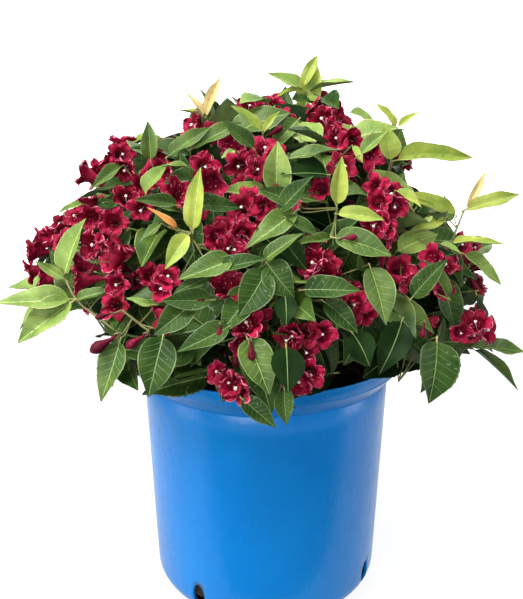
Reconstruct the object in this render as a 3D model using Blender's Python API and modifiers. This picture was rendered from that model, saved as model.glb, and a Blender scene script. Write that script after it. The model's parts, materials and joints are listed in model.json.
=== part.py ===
"""A flowering weigela in a blue nursery pot, in metres.

The frame is the pot's: the origin is the centre of its flat underside, +Z is up and -Y is the front.
The pot stands on that underside and is filled with potting mix. A short woody stem base with a root
flare stands on the mix and ends in a knob. One bough runs from the knob to each mass of foliage.
Every mass keeps to its own wedge of the crown, and is one solid: a stem, its side shoots, the leaves
in opposite pairs on them, and the trumpet flowers at their ends.
"""

import math
import random

import bmesh
import bpy
from mathutils import Matrix, Quaternion, Vector
from mathutils.bvhtree import BVHTree

# Pot
POT_HEIGHT = 0.212
RIM_RADIUS = 0.114
RIM_BAND = 0.009
RIM_SHOULDER = 0.013
BODY_TOP_RADIUS = 0.1025
BODY_FOOT_RADIUS = 0.0965
BASE_CORNER = 0.0185
WALL = 0.0022
POT_SIDES = 36
CORNER_STEPS = 3
SLOT_AZIMUTHS = (-124.5, -29.5, 55.5, 150.5)
SLOT_WIDTH = 0.0115
SLOT_HEIGHT = 0.023
SLOT_TOP = 0.031
SLOT_DEPTH = 0.024
SLOT_SIDES = 12

# Potting mix and stem base
CLEARANCE = 0.0003
MIX_DEPTH_BELOW_RIM = 0.027
MIX_TOP = POT_HEIGHT - MIX_DEPTH_BELOW_RIM
GROUND = MIX_TOP + CLEARANCE
FLARE_RADIUS = 0.021
FLARE_HEIGHT = 0.0025
WAIST_RADIUS = 0.0125
WAIST_HEIGHT = 0.007
KNOB_RADIUS = 0.015
KNOB_CENTRE = Vector((0, 0, GROUND + 0.017))
KNOB_STEPS = 6
KNOB_STEP_ANGLE = 22
BASE_SIDES = 16

# Crown: every mass lies on a heading from this centre, as azimuth from +X and elevation, in degrees,
# and its furthest leaf ends at its reach.
CROWN_CENTRE = Vector((0.0, 0.0, 0.235))
MASSES = {
    "crown_top": (4, 80, 0.211),
    "top_left": (-140, 74, 0.198),
    "top_back": (98, 60, 0.194),
    "top_front": (-84, 56, 0.196),
    "upper_right": (-5, 56, 0.201),
    "upper_back_right": (46, 36, 0.200),
    "upper_back": (98, 28, 0.202),
    "upper_back_left": (147, 33, 0.198),
    "upper_left": (-172, 38, 0.194),
    "upper_front_left": (-126, 36, 0.200),
    "upper_front_right": (-44, 35, 0.202),
    "front": (-87, 22, 0.208),
    "right": (1, 27, 0.226),
    "low_right": (-19, -3, 0.212),
    "low_front_right": (-51, -5, 0.190),
    "low_front": (-98, -8, 0.178),
    "low_front_left": (-139, 7, 0.196),
    "left": (-175, 8, 0.217),
    "low_back_left": (146, 0, 0.206),
    "low_back": (101, -2, 0.203),
    "low_back_right": (52, -1, 0.207),
}
BOUGH_REACH = 0.078
BOUGH_STRAIGHT = 0.005
BOUGH_FOOT_RADIUS = 0.0022
BOUGH_TIP_RADIUS = 0.0020
BOUGH_BENDS = 3
LOWEST_KNOB_ANGLE = 18.0
KNOB_ANGLE_SHARE = 0.72

# Outline of the crown, and what each mass keeps clear of
FRINGE_SIDE = 0.203
FRINGE_TOP = 0.190
UNDERCUT = 0.42
LEADER_CONE = 10
INNER_LIMIT = 0.082
WEDGE_MARGIN = 0.0006
POT_MARGIN = 0.0022
BETWEEN = 6

# Shoots: a stem leads on from each bough, and side shoots leave it for points spread over the crown
STEM_RADIUS = 0.0023
STEM_POINTS = 5
STEM_SWAY = 0.004
SIDE_SHOOTS = 134
SIDE_REACH = 0.168
TOP_REACH = 0.167
LOWEST_SHOOT = -0.17
LEADER_ROOM = 7.7
SHOOT_RADIUS = 0.0012
SHOOT_POINTS = 3
SHOOT_BEND = 0.35
TWIG_TAPER = 0.7

# Leaves, in opposite pairs. A pair is its place along the shoot, its spread from it and its size.
LEADER_PAIRS = ((0.45, 70, 0.95), (0.72, 62, 1.0), (0.96, 32, 0.86))
SIDE_PAIRS = ((0.60, 70, 1.0), (0.92, 58, 0.92))
END_LEAF = 0.74
LEAF_LENGTH = 0.058
LEAF_WIDTH = 0.56
LEAF_THICKNESS = 0.020
LEAF_WIDEST = 0.42
LEAF_KEEL = 0.035
LEAF_LIFT = 0.055
LEAF_DROOP = 0.13
LEAF_NECK = 0.16
LIGHT_LEAN = 0.55
ROOT_GAP = 0.0002
END_SUNK = 0.0020

# Flowers, in clusters at the ends of flowering shoots
FLOWER_LENGTH = 0.030
FLOWER_MOUTH = 0.0115
FLOWER_NECK = 0.25
FLOWER_SIDES = 5
FLOWERS_IN_CLUSTER = 2
FLOWERING_SHARE = 0.56
# The clusters of the side that shows most, as (azimuth, elevation) from the crown's centre, in degrees.
# Each has a side shoot of its own, and the evenly spread shoots keep this many degrees off them.
BLOSSOMS = (
    (-112, 59), (-91, 67), (-158, 48), (-125, 49), (-114, 41), (-96, 48), (-134, 33), (-148, 31),
    (-167, 20), (-133, 23), (-99, 33), (-122, 19), (-111, 25), (-97, 22), (-58, 66), (-60, 53),
    (-77, 43), (-60, 39), (-78, 28), (-50, 24), (-69, 20), (-83, 11), (-42, 9), (-113, 13), (-98, 10),
    (-97, 2),
)
BLOSSOM_ROOM = 9.0

# A leaf or flower that does not fit is turned in and shortened a little at each of these tries.
TRIES = 6
TURN_PER_TRY = 5.5
SHRINK_PER_TRY = 0.055

UP = Vector((0, 0, 1))
FRONT = Vector((0, -1, 0))
GOLDEN_ANGLE = math.pi * (3 - math.sqrt(5))

COLOURS = {
    "pot_blue": ((0.03, 0.22, 0.62), 0.38),
    "potting_mix": ((0.035, 0.022, 0.015), 0.95),
    "bark": ((0.20, 0.13, 0.08), 0.8),
    "foliage": ((0.09, 0.22, 0.05), 0.5),
}


# Scene, collections and materials


def clear_scene():
    for obj in list(bpy.data.objects):
        bpy.data.objects.remove(obj)


def new_collection(name):
    collection = bpy.data.collections.new(name)
    bpy.context.scene.collection.children.link(collection)
    return collection


def material(slot):
    """The slot's Principled material, made the first time it is asked for."""
    if slot in bpy.data.materials:
        return bpy.data.materials[slot]
    colour, roughness = COLOURS[slot]
    made = bpy.data.materials.new(slot)
    made.use_nodes = True
    shader = made.node_tree.nodes["Principled BSDF"]
    shader.inputs["Base Color"].default_value = (*colour, 1)
    shader.inputs["Roughness"].default_value = roughness
    shader.inputs["Metallic"].default_value = 0
    return made


def add_object(name, data, collection, slot=None):
    obj = bpy.data.objects.new(name, data)
    collection.objects.link(obj)
    if slot:
        data.materials.append(material(slot))
    return obj


def mesh_of(bm, name):
    mesh = bpy.data.meshes.new(name)
    bm.to_mesh(mesh)
    bm.free()
    return mesh


# Pot, potting mix and stem base


def body_profile(offset, top):
    """The pot body's section in (radius, height), moved in by offset, from the height top to the axis."""
    slope = (BODY_TOP_RADIUS - BODY_FOOT_RADIUS) / (POT_HEIGHT - RIM_BAND - RIM_SHOULDER - BASE_CORNER)
    points = [(BODY_FOOT_RADIUS + slope * (top - BASE_CORNER) - offset, top)]
    corner = BASE_CORNER - offset
    for step in range(CORNER_STEPS + 1):
        angle = math.pi / 2 * step / CORNER_STEPS
        points.append((
            BODY_FOOT_RADIUS - BASE_CORNER + corner * math.cos(angle),
            BASE_CORNER - corner * math.sin(angle),
        ))
    points.append((0, offset))
    return points


def turned(name, profile, sides, collection, slot):
    """A profile in (radius, height), from top to bottom on its outer side, turned about the Z axis."""
    bm = bmesh.new()
    rows = [bm.verts.new((radius, 0, height)) for radius, height in profile]
    for upper, lower in zip(rows, rows[1:]):
        bm.edges.new((upper, lower))
    obj = add_object(name, mesh_of(bm, name), collection, slot)
    screw = obj.modifiers.new("turn", "SCREW")
    screw.steps = sides
    screw.render_steps = sides
    screw.use_merge_vertices = True
    screw.merge_threshold = 0.00005
    screw.use_smooth_shade = True
    return obj


def slot_cutter(number, azimuth, collection):
    """An oval bar that cuts one drainage slot through the pot's bottom corner."""
    bm = bmesh.new()
    bmesh.ops.create_cone(bm, cap_ends=True, segments=SLOT_SIDES, radius1=0.5, radius2=0.5, depth=1)
    bmesh.ops.scale(bm, vec=(SLOT_HEIGHT, SLOT_WIDTH, SLOT_DEPTH * 2), verts=bm.verts)
    obj = add_object(f"slot_cutter_{number}", mesh_of(bm, "slot_cutter"), collection)
    angle = math.radians(azimuth)
    away = Vector((math.cos(angle), math.sin(angle), 0))
    obj.rotation_euler = (0, math.radians(90), angle)
    obj.location = away * BODY_FOOT_RADIUS + UP * (SLOT_TOP - SLOT_HEIGHT / 2)
    obj.hide_render = True
    obj.display_type = "WIRE"


def build_pot(collection, cutters):
    shoulder = POT_HEIGHT - RIM_BAND - RIM_SHOULDER
    rim = [(RIM_RADIUS, POT_HEIGHT), (RIM_RADIUS, POT_HEIGHT - RIM_BAND)]
    pot = turned("pot", rim + body_profile(0, shoulder), POT_SIDES, collection, "pot_blue")
    wall = pot.modifiers.new("wall", "SOLIDIFY")
    wall.thickness = WALL
    wall.offset = -1
    wall.use_even_offset = True
    for number, azimuth in enumerate(SLOT_AZIMUTHS, 1):
        slot_cutter(number, azimuth, cutters)
    cut = pot.modifiers.new("drainage", "BOOLEAN")
    cut.operation = "DIFFERENCE"
    cut.operand_type = "COLLECTION"
    cut.collection = cutters
    cut.solver = "EXACT"


def build_mix(collection):
    section = body_profile(WALL + CLEARANCE, MIX_TOP)
    turned("potting_mix", [(0, MIX_TOP)] + section, POT_SIDES, collection, "potting_mix")


def build_stem_base(collection):
    """The woody crown of the shrub: a flat cut at ground level, a root flare, a waist and a round knob."""
    profile = []
    for step in range(KNOB_STEPS):
        angle = math.radians(90 - KNOB_STEP_ANGLE * step)
        profile.append((KNOB_RADIUS * math.cos(angle), KNOB_CENTRE.z + KNOB_RADIUS * math.sin(angle)))
    profile.append((WAIST_RADIUS, GROUND + WAIST_HEIGHT))
    profile.append(((WAIST_RADIUS + FLARE_RADIUS) / 2, GROUND + FLARE_HEIGHT))
    profile.append((FLARE_RADIUS, GROUND))
    profile.append((0, GROUND))
    turned("stem_base", profile, BASE_SIDES, collection, "bark")


# Crown layout: headings, wedges and paths


def direction(azimuth, elevation):
    a, e = math.radians(azimuth), math.radians(elevation)
    return Vector((math.cos(a) * math.cos(e), math.sin(a) * math.cos(e), math.sin(e)))


HEADINGS = {name: direction(azimuth, elevation) for name, (azimuth, elevation, _) in MASSES.items()}
WEDGE_SIDES = {
    name: [(mine - other).normalized() for key, other in HEADINGS.items() if key != name]
    for name, mine in HEADINGS.items()
}


def nearest_mass(heading):
    return max(HEADINGS, key=lambda name: HEADINGS[name].dot(heading))


def bezier(a, b, c, d, count):
    """Points along the cubic curve that these four control points give."""
    points = []
    for step in range(count):
        t = step / (count - 1)
        s = 1 - t
        points.append(a * s**3 + b * 3 * s * s * t + c * 3 * s * t * t + d * t**3)
    return points


def bough_path(name):
    """From the knob round to the mass's heading, with a short straight at each end."""
    azimuth, elevation, _ = MASSES[name]
    lowest = min(entry[1] for entry in MASSES.values())
    knob_angle = LOWEST_KNOB_ANGLE + (elevation - lowest) * KNOB_ANGLE_SHARE
    away = direction(azimuth, knob_angle)
    start = KNOB_CENTRE + away * (KNOB_RADIUS + CLEARANCE)
    heading = HEADINGS[name]
    end = CROWN_CENTRE + heading * BOUGH_REACH
    bend_start, bend_end = start + away * BOUGH_STRAIGHT, end - heading * BOUGH_STRAIGHT
    pull = (bend_end - bend_start).length / 3
    bend = bezier(bend_start, bend_start + away * pull, bend_end - heading * pull, bend_end, BOUGH_BENDS)
    return [start, *bend, end]


def side_headings(count, seed):
    """The blossoms' headings, and then headings spread evenly by the golden angle, a little out of line."""
    rng = random.Random(seed)
    named = [direction(azimuth, elevation) for azimuth, elevation in BLOSSOMS]
    closest = math.cos(math.radians(BLOSSOM_ROOM))
    found = list(named)
    for number in range(count):
        height = 1 - (number + 0.5) / count * (1 - LOWEST_SHOOT)
        flat = math.sqrt(1 - height * height)
        turn = GOLDEN_ANGLE * number + rng.uniform(-0.07, 0.07)
        heading = Vector((flat * math.cos(turn), flat * math.sin(turn), height + rng.uniform(-0.02, 0.02)))
        heading.normalize()
        if all(heading.dot(blossom) < closest for blossom in named):
            found.append(heading)
    return found


def drawn_in(side, top, heading):
    """A length that falls from side to top towards the zenith and is drawn in below the widest line."""
    return side - (side - top) * max(0, heading.z) ** 2 - UNDERCUT * max(0, -heading.z)


def outer_limit(name, heading):
    """How far out leaves may come: the mass's own reach near its heading, or else the crown's fringe."""
    fringe = drawn_in(FRINGE_SIDE, FRINGE_TOP, heading)
    if HEADINGS[name].dot(heading) > math.cos(math.radians(LEADER_CONE)):
        return max(fringe, MASSES[name][2])
    return fringe


def in_wedge(name, point):
    """Whether a point is nearer to this mass's heading than to any other, by the margin."""
    arm = point - CROWN_CENTRE
    return all(arm.dot(side) > WEDGE_MARGIN for side in WEDGE_SIDES[name])


def clear_of_pot(point):
    """Whether a point is above the rim or outside the pot, by the margin."""
    if point.z > POT_HEIGHT + POT_MARGIN:
        return True
    return math.hypot(point.x, point.y) > RIM_RADIUS + POT_MARGIN


def in_depth(name, point):
    """Whether a point is outside the boughs' tips and inside the crown's outline."""
    arm = point - CROWN_CENTRE
    return INNER_LIMIT < arm.length < outer_limit(name, arm.normalized())


def allowed(name, corners):
    """Whether a shape with these corners keeps to the mass's space.

    A wedge is convex, so the corners are enough there. The pot and the boughs could still come between
    two corners, so points on the way are tried as well.
    """
    if not all(in_wedge(name, corner) and in_depth(name, corner) for corner in corners):
        return False
    for number, first in enumerate(corners):
        for second in corners[number + 1 :]:
            for step in range(1, BETWEEN):
                point = first.lerp(second, step / BETWEEN)
                if not clear_of_pot(point) or (point - CROWN_CENTRE).length < INNER_LIMIT:
                    return False
    return all(clear_of_pot(corner) for corner in corners)


# Growth rule: stems, side shoots, leaf pairs and flower clusters


def stem_path(name, rng):
    """The mass's own stem: it leads on from the bough's tip and ends a leaf short of the reach."""
    heading, reach = HEADINGS[name], MASSES[name][2]
    start = CROWN_CENTRE + heading * (BOUGH_REACH + CLEARANCE)
    end = CROWN_CENTRE + heading * (reach - LEAF_LENGTH * END_LEAF)
    side = heading.cross(UP).normalized()
    sway = side * rng.uniform(-STEM_SWAY, STEM_SWAY) + UP * STEM_SWAY
    return bezier(start, start.lerp(end, 1 / 3), start.lerp(end, 2 / 3) + sway, end, STEM_POINTS)


def side_path(name, heading, stem, rng):
    """A side shoot: it leaves the stem low down when its end is far to the side, and bends outward."""
    spread = math.degrees(HEADINGS[name].angle(heading))
    share = max(0.12, min(0.72, 0.72 - spread / 60 + rng.uniform(-0.06, 0.06)))
    start = stem[0].lerp(stem[-1], share)
    end = CROWN_CENTRE + heading * drawn_in(SIDE_REACH, TOP_REACH, heading) * rng.uniform(0.90, 1.04)
    length = (end - start).length
    return bezier(
        start,
        start + (HEADINGS[name] + heading * 1.4).normalized() * length * SHOOT_BEND,
        end - (heading + UP * 0.15).normalized() * length * SHOOT_BEND,
        end,
        SHOOT_POINTS,
    )


def along(path, share):
    """The point and the direction at a share of a path's points."""
    place = share * (len(path) - 1)
    low = min(int(place), len(path) - 2)
    point = path[low].lerp(path[low + 1], place - low)
    return point, (path[low + 1] - path[low]).normalized()


def leaf_pair(path, share, turn, spread, size, rng):
    """Two leaves opposite each other. Each is (foot, along, facing, length)."""
    foot, axis = along(path, share)
    outward = (foot - CROWN_CENTRE).normalized()
    across = axis.cross(UP).normalized()
    across = Quaternion(axis, turn + rng.uniform(-0.35, 0.35)) @ across
    leaves = []
    for side in (1, -1):
        lean = math.radians(spread + rng.uniform(-9, 9))
        away = axis * math.cos(lean) + across * side * math.sin(lean)
        away = (away + outward * 0.12 - UP * rng.uniform(0.10, 0.42)).normalized()
        facing = UP * 0.75 + outward * 0.65 + FRONT * LIGHT_LEAN * max(0, outward.z)
        facing += Vector([rng.uniform(-0.2, 0.2) for _ in range(3)])
        leaves.append((foot, away, facing, LEAF_LENGTH * size * rng.uniform(0.84, 1.14)))
    return leaves


def leaf_axes(away, facing):
    """The leaf's own axes: along it, across it, and out of its upper side."""
    across = facing.cross(away).normalized()
    return away, across, away.cross(across).normalized()


def leaf_matrix(foot, away, facing, length):
    away, across, normal = leaf_axes(away, facing)
    turn = Matrix((away, across, normal)).transposed().to_4x4()
    return Matrix.Translation(foot + away * ROOT_GAP) @ turn @ Matrix.Scale(length, 4)


def leaf_corners():
    """The six corners of a unit leaf: foot, tip, two sides, and the midrib's top and underside."""
    return {
        "foot": Vector((0, 0, 0)),
        "tip": Vector((1, 0, -LEAF_DROOP)),
        "left": Vector((LEAF_WIDEST, LEAF_WIDTH / 2, LEAF_LIFT)),
        "right": Vector((LEAF_WIDEST, -LEAF_WIDTH / 2, LEAF_LIFT)),
        "top": Vector((LEAF_WIDEST, 0, LEAF_THICKNESS / 2 - LEAF_KEEL)),
        "under": Vector((LEAF_WIDEST, 0, -LEAF_THICKNESS / 2 - LEAF_KEEL)),
    }


def crosses(tree, taken):
    return any(tree.overlap(other) for other in taken)


def twig_tree(path):
    """A twig as a row of slim triangles, to find what would grow through it."""
    slim = Vector((0.0004, 0.0004, 0))
    points = [place for pair in zip(path, path[1:]) for place in (*pair, pair[0] + slim)]
    return BVHTree.FromPolygons(points, [(i, i + 1, i + 2) for i in range(0, len(points), 3)])


def blade_tree(matrix):
    """A leaf's blade from its neck out, because its foot lies in its twig."""
    corners = leaf_corners()
    neck = corners["foot"].lerp(corners["top"], LEAF_NECK / LEAF_WIDEST)
    places = [matrix @ corner for corner in (neck, corners["left"], corners["tip"], corners["right"])]
    return BVHTree.FromPolygons(places, [(0, 1, 2), (0, 2, 3)])


def turned_in(name, foot, away, attempt):
    """A direction turned a little more towards the middle line of the mass at each attempt."""
    heading, arm = HEADINGS[name], foot - CROWN_CENTRE
    inward = heading * arm.dot(heading) - arm
    return (away + inward * TURN_PER_TRY * attempt).normalized()


def fitted_leaf(name, leaf, taken):
    """The leaf's matrix, turned in and shortened until it fits, or None."""
    foot, away, facing, length = leaf
    for attempt in range(TRIES):
        trial = turned_in(name, foot, away, attempt)
        size = length * (1 - SHRINK_PER_TRY * attempt)
        matrix = leaf_matrix(foot, trial, facing, size)
        corners = [matrix @ corner for corner in leaf_corners().values()]
        if not allowed(name, corners):
            continue
        tree = blade_tree(matrix)
        if not crosses(tree, taken):
            taken.append(tree)
            return matrix
    return None


def flower_cluster(end, axis, rng):
    """Trumpets that spread from a shoot's end. Each is (foot, along, length)."""
    across = axis.cross(UP).normalized()
    flowers = []
    start = rng.uniform(0, math.tau)
    for number in range(FLOWERS_IN_CLUSTER):
        turn = start + math.tau * number / FLOWERS_IN_CLUSTER
        lean = math.radians(rng.uniform(32, 52))
        side = Quaternion(axis, turn) @ across
        away = (axis * math.cos(lean) + side * math.sin(lean)).normalized()
        flowers.append((end - axis * END_SUNK, away, FLOWER_LENGTH * rng.uniform(0.86, 1.08)))
    return flowers


def flower_matrix(foot, away, length):
    turn = away.to_track_quat("Z", "Y").to_matrix().to_4x4()
    return Matrix.Translation(foot + away * ROOT_GAP) @ turn @ Matrix.Scale(length, 4)


def flower_tree(matrix):
    """A trumpet from its neck out, and its mouth's corners."""
    mouth = FLOWER_MOUTH / FLOWER_LENGTH
    rim = []
    for number in range(FLOWER_SIDES):
        angle = math.tau * number / FLOWER_SIDES
        rim.append(matrix @ Vector((mouth * math.cos(angle), mouth * math.sin(angle), 1)))
    places = [matrix @ Vector((0, 0, FLOWER_NECK)), *rim]
    sides = [(0, 1 + i, 1 + (i + 1) % FLOWER_SIDES) for i in range(FLOWER_SIDES)]
    return BVHTree.FromPolygons(places, sides), rim


def fitted_flower(name, flower, taken):
    foot, away, length = flower
    for attempt in range(TRIES):
        trial = turned_in(name, foot, away, attempt)
        matrix = flower_matrix(foot, trial, length * (1 - SHRINK_PER_TRY * attempt))
        tree, rim = flower_tree(matrix)
        if allowed(name, [*rim, foot]) and not crosses(tree, taken):
            taken.append(tree)
            return matrix
    return None


def shoots_of(name):
    """Every shoot of a mass as (path, radius at its foot, kind): the stem first, then the side shoots."""
    rng = random.Random(f"stem {name}")
    stem = stem_path(name, rng)
    shoots = [(stem, STEM_RADIUS, "leader")]
    for number, heading in enumerate(side_headings(SIDE_SHOOTS, "side shoots")):
        beside_leader = HEADINGS[name].dot(heading) > math.cos(math.radians(LEADER_ROOM))
        if nearest_mass(heading) != name or beside_leader:
            continue
        rng = random.Random(f"shoot {number}")
        path = side_path(name, heading, stem, rng)
        if not allowed(name, path[1:]):
            continue
        in_flower = number < len(BLOSSOMS) or rng.random() < FLOWERING_SHARE
        kind = "flowering" if in_flower else "leafy"
        shoots.append((path, SHOOT_RADIUS, kind))
    return shoots


def dress(name, path, kind, rng, taken):
    """The leaf and flower matrices of one shoot, which are added to the space taken."""
    turn = rng.uniform(0, math.pi)
    end, axis = along(path, 1)
    leaves, flowers = [], []
    if kind == "flowering":
        flowers = [fitted_flower(name, flower, taken) for flower in flower_cluster(end, axis, rng)]
    for number, (share, spread, size) in enumerate(LEADER_PAIRS if kind == "leader" else SIDE_PAIRS):
        for leaf in leaf_pair(path, share, turn + number * math.pi / 2, spread, size, rng):
            leaves.append(fitted_leaf(name, leaf, taken))
    if kind == "leader":
        facing = UP * 0.75 + HEADINGS[name] * 0.3 + FRONT * LIGHT_LEAN * 1.5
        end_leaf = (end - axis * END_SUNK, axis, facing, LEAF_LENGTH * END_LEAF)
        leaves.append(fitted_leaf(name, end_leaf, taken))
    return [m for m in leaves if m], [m for m in flowers if m]


# Solids of the plant


def unit_leaf():
    """Eight faces: an octahedron whose corners are drawn out to a folded blade."""
    bm = bmesh.new()
    bmesh.ops.create_uvsphere(bm, u_segments=4, v_segments=2, radius=1)
    corners = leaf_corners()
    for vert in bm.verts:
        x, y, z = vert.co
        if z > 0.5:
            vert.co = corners["top"]
        elif z < -0.5:
            vert.co = corners["under"]
        elif abs(x) > abs(y):
            vert.co = corners["tip" if x > 0 else "foot"]
        else:
            vert.co = corners["left" if y > 0 else "right"]
    return mesh_of(bm, "leaf")


def unit_flower():
    """A five-sided trumpet with a closed mouth, one unit long, from the point that sinks into its shoot."""
    bm = bmesh.new()
    mouth = FLOWER_MOUTH / FLOWER_LENGTH
    bmesh.ops.create_cone(bm, cap_ends=True, segments=FLOWER_SIDES, radius1=0, radius2=mouth, depth=1)
    bmesh.ops.translate(bm, vec=(0, 0, 0.5), verts=bm.verts)
    return mesh_of(bm, "flower")


def twig_section(sides, collection):
    """The section of a twig, as a closed outline of radius 1 with so many sides."""
    curve = bpy.data.curves.new(f"section_{sides}", "CURVE")
    curve.dimensions = "2D"
    spline = curve.splines.new("POLY")
    spline.points.add(sides - 1)
    for number, point in enumerate(spline.points):
        angle = math.tau * number / sides
        point.co = (math.cos(angle), math.sin(angle), 0, 1)
    spline.use_cyclic_u = True
    obj = add_object(f"section_{sides}", curve, collection)
    obj.hide_render = True
    obj.display_type = "WIRE"
    return obj


def limb_curve(name, path, foot_radius, tip_radius):
    """A tapering limb along a path, as a curve with filled caps."""
    curve = bpy.data.curves.new(name, "CURVE")
    curve.dimensions = "3D"
    curve.use_fill_caps = True
    spline = curve.splines.new("POLY")
    spline.points.add(len(path) - 1)
    for number, (point, place) in enumerate(zip(spline.points, path)):
        share = number / (len(path) - 1)
        point.co = (*place, 1)
        point.radius = foot_radius + (tip_radius - foot_radius) * share
    return curve


def twig_mesh(name, path, radius, section, collection):
    """A twig as a closed mesh: the curve is evaluated and its caps are welded."""
    curve = limb_curve(name, path, radius, radius * TWIG_TAPER)
    curve.bevel_mode = "OBJECT"
    curve.bevel_object = section
    obj = add_object(name, curve, collection)
    bpy.context.view_layer.update()
    evaluated = obj.evaluated_get(bpy.context.evaluated_depsgraph_get())
    mesh = bpy.data.meshes.new_from_object(evaluated)
    bm = bmesh.new()
    bm.from_mesh(mesh)
    bmesh.ops.remove_doubles(bm, verts=bm.verts, dist=0.00001)
    bmesh.ops.recalc_face_normals(bm, faces=bm.faces)
    bm.to_mesh(mesh)
    bm.free()
    bpy.data.objects.remove(obj)
    return mesh


def largest_shell(mesh):
    """Keeps the one outer shell: sealed hollows are filled and loose scraps dropped."""
    bm = bmesh.new()
    bm.from_mesh(mesh)
    unseen, shells = set(bm.faces), []
    while unseen:
        shell, edge_of_shell = set(), [unseen.pop()]
        while edge_of_shell:
            face = edge_of_shell.pop()
            shell.add(face)
            for edge in face.edges:
                for other in edge.link_faces:
                    if other in unseen:
                        unseen.remove(other)
                        edge_of_shell.append(other)
        shells.append(shell)
    shells.sort(key=len)
    for shell in shells[:-1]:
        bmesh.ops.delete(bm, geom=list(shell), context="FACES")
    bm.to_mesh(mesh)
    bm.free()


def build_mass(name, collection, leaf, flower, sections):
    """One mass: its stem, joined with every twig, leaf and flower by a single Boolean union."""
    loose = new_collection(f"loose_{name}")
    rng = random.Random(f"dress {name}")
    shoots = shoots_of(name)
    taken = [twig_tree(path) for path, _, _ in shoots]
    stem, stem_radius, _ = shoots[0]
    mass = add_object(
        f"foliage_{name}", twig_mesh("stem", stem, stem_radius, sections[0], loose), collection, "foliage"
    )
    for number, (path, radius, kind) in enumerate(shoots):
        if number:
            add_object(f"twig_{number}", twig_mesh("twig", path, radius, sections[1], loose), loose)
        leaves, flowers = dress(name, path, kind, rng, taken)
        for data, matrices in ((leaf, leaves), (flower, flowers)):
            for matrix in matrices:
                add_object("blade", data, loose).matrix_world = matrix
    union = mass.modifiers.new("fuse", "BOOLEAN")
    union.operation = "UNION"
    union.operand_type = "COLLECTION"
    union.collection = loose
    union.solver = "EXACT"
    bpy.context.view_layer.update()
    evaluated = mass.evaluated_get(bpy.context.evaluated_depsgraph_get())
    fused = bpy.data.meshes.new_from_object(evaluated)
    mass.modifiers.clear()
    mass.data = fused
    largest_shell(fused)
    for obj in list(loose.objects):
        bpy.data.objects.remove(obj)
    bpy.data.collections.remove(loose)
    return mass


def build_bough(name, collection):
    curve = limb_curve(f"bough_{name}", bough_path(name), BOUGH_FOOT_RADIUS, BOUGH_TIP_RADIUS)
    curve.bevel_depth = 1
    curve.bevel_resolution = 1
    add_object(f"bough_{name}", curve, collection, "bark")


def main():
    clear_scene()
    plant = new_collection("potted_weigela")
    cutters = new_collection("cutters")
    guides = new_collection("guides")
    build_pot(plant, cutters)
    build_mix(plant)
    build_stem_base(plant)
    leaf, flower = unit_leaf(), unit_flower()
    sections = (twig_section(4, guides), twig_section(3, guides))
    for name in MASSES:
        build_bough(name, plant)
        build_mass(name, plant, leaf, flower, sections)


main()
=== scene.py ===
# %% [markdown]
# # A flowering weigela in a blue nursery pot
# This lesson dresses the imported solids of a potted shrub. Each coarse mass of foliage is grown again by the
# rule that made its solid, and carried on to finer twigs, toothed and veined leaves and open flowers. All is
# in metres in one frame: the origin is the centre of the pot's flat underside, +Z is up and -Y the front.

# %% Load the frame
import json
import random
from itertools import combinations
from math import atan, atan2, cos, degrees, hypot, log, pi, radians, sin, sqrt, tau

import bmesh
import bpy
import numpy as np
from mathutils import Matrix, Quaternion, Vector
from mathutils.bvhtree import BVHTree
from mathutils.kdtree import KDTree

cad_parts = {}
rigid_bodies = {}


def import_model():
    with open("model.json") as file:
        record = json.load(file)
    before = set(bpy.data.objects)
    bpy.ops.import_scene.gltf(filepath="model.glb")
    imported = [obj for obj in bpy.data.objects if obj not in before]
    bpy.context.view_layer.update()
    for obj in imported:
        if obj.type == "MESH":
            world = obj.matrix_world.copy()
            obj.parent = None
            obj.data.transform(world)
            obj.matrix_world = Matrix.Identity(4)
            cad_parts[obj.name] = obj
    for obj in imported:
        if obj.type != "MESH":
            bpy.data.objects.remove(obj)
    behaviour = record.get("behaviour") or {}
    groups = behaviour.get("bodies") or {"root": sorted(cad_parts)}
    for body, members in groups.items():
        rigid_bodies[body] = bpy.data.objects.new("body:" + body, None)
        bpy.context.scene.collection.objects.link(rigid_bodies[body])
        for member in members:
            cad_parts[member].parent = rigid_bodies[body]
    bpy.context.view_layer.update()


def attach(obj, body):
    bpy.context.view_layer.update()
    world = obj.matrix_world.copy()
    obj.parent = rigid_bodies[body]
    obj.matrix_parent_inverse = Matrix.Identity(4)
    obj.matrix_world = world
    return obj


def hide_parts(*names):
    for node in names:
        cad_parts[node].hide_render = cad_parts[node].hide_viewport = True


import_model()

# %% [markdown]
# ## The camera
# The photograph was taken from a little over half a metre, slightly above the plant, so the pot tapers and
# its rim shows as a wide oval. The camera could be aimed by eye, but it was fitted to the pot's rim, walls
# and foot, whose real sizes are known.

# %% Camera
IMAGE_WIDTH, IMAGE_HEIGHT, FOCAL_PIXELS = 523, 599, 770.07
CAMERA_PLACE, CAMERA_PITCH, FILM = (-0.0037, -0.616, 0.427), 16.1, 36


def placed(name, data):
    """A new object in the scene."""
    made = bpy.data.objects.new(name, data)
    bpy.context.scene.collection.objects.link(made)
    return made


camera = placed("camera", bpy.data.cameras.new("camera"))
camera.location = CAMERA_PLACE
camera.rotation_euler = (radians(90 - CAMERA_PITCH), 0, 0)
camera.data.sensor_width = FILM
camera.data.lens = FILM * FOCAL_PIXELS / max(IMAGE_WIDTH, IMAGE_HEIGHT)
camera.data.clip_start = 0.01
bpy.context.scene.camera = camera
EYE, VIEW = camera.location.copy(), camera.matrix_basis.copy()
print("lens:", round(camera.data.lens, 2), "mm")

# %% [markdown]
# ## Helpers for finishes
# A finish is one Principled shader. Noise between two close tints breaks up its colour, so that no surface is
# flat, and gives its bump. Noise is read in the object's own coordinates, in metres, so it has a real scale
# and stays put when the view changes.


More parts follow.
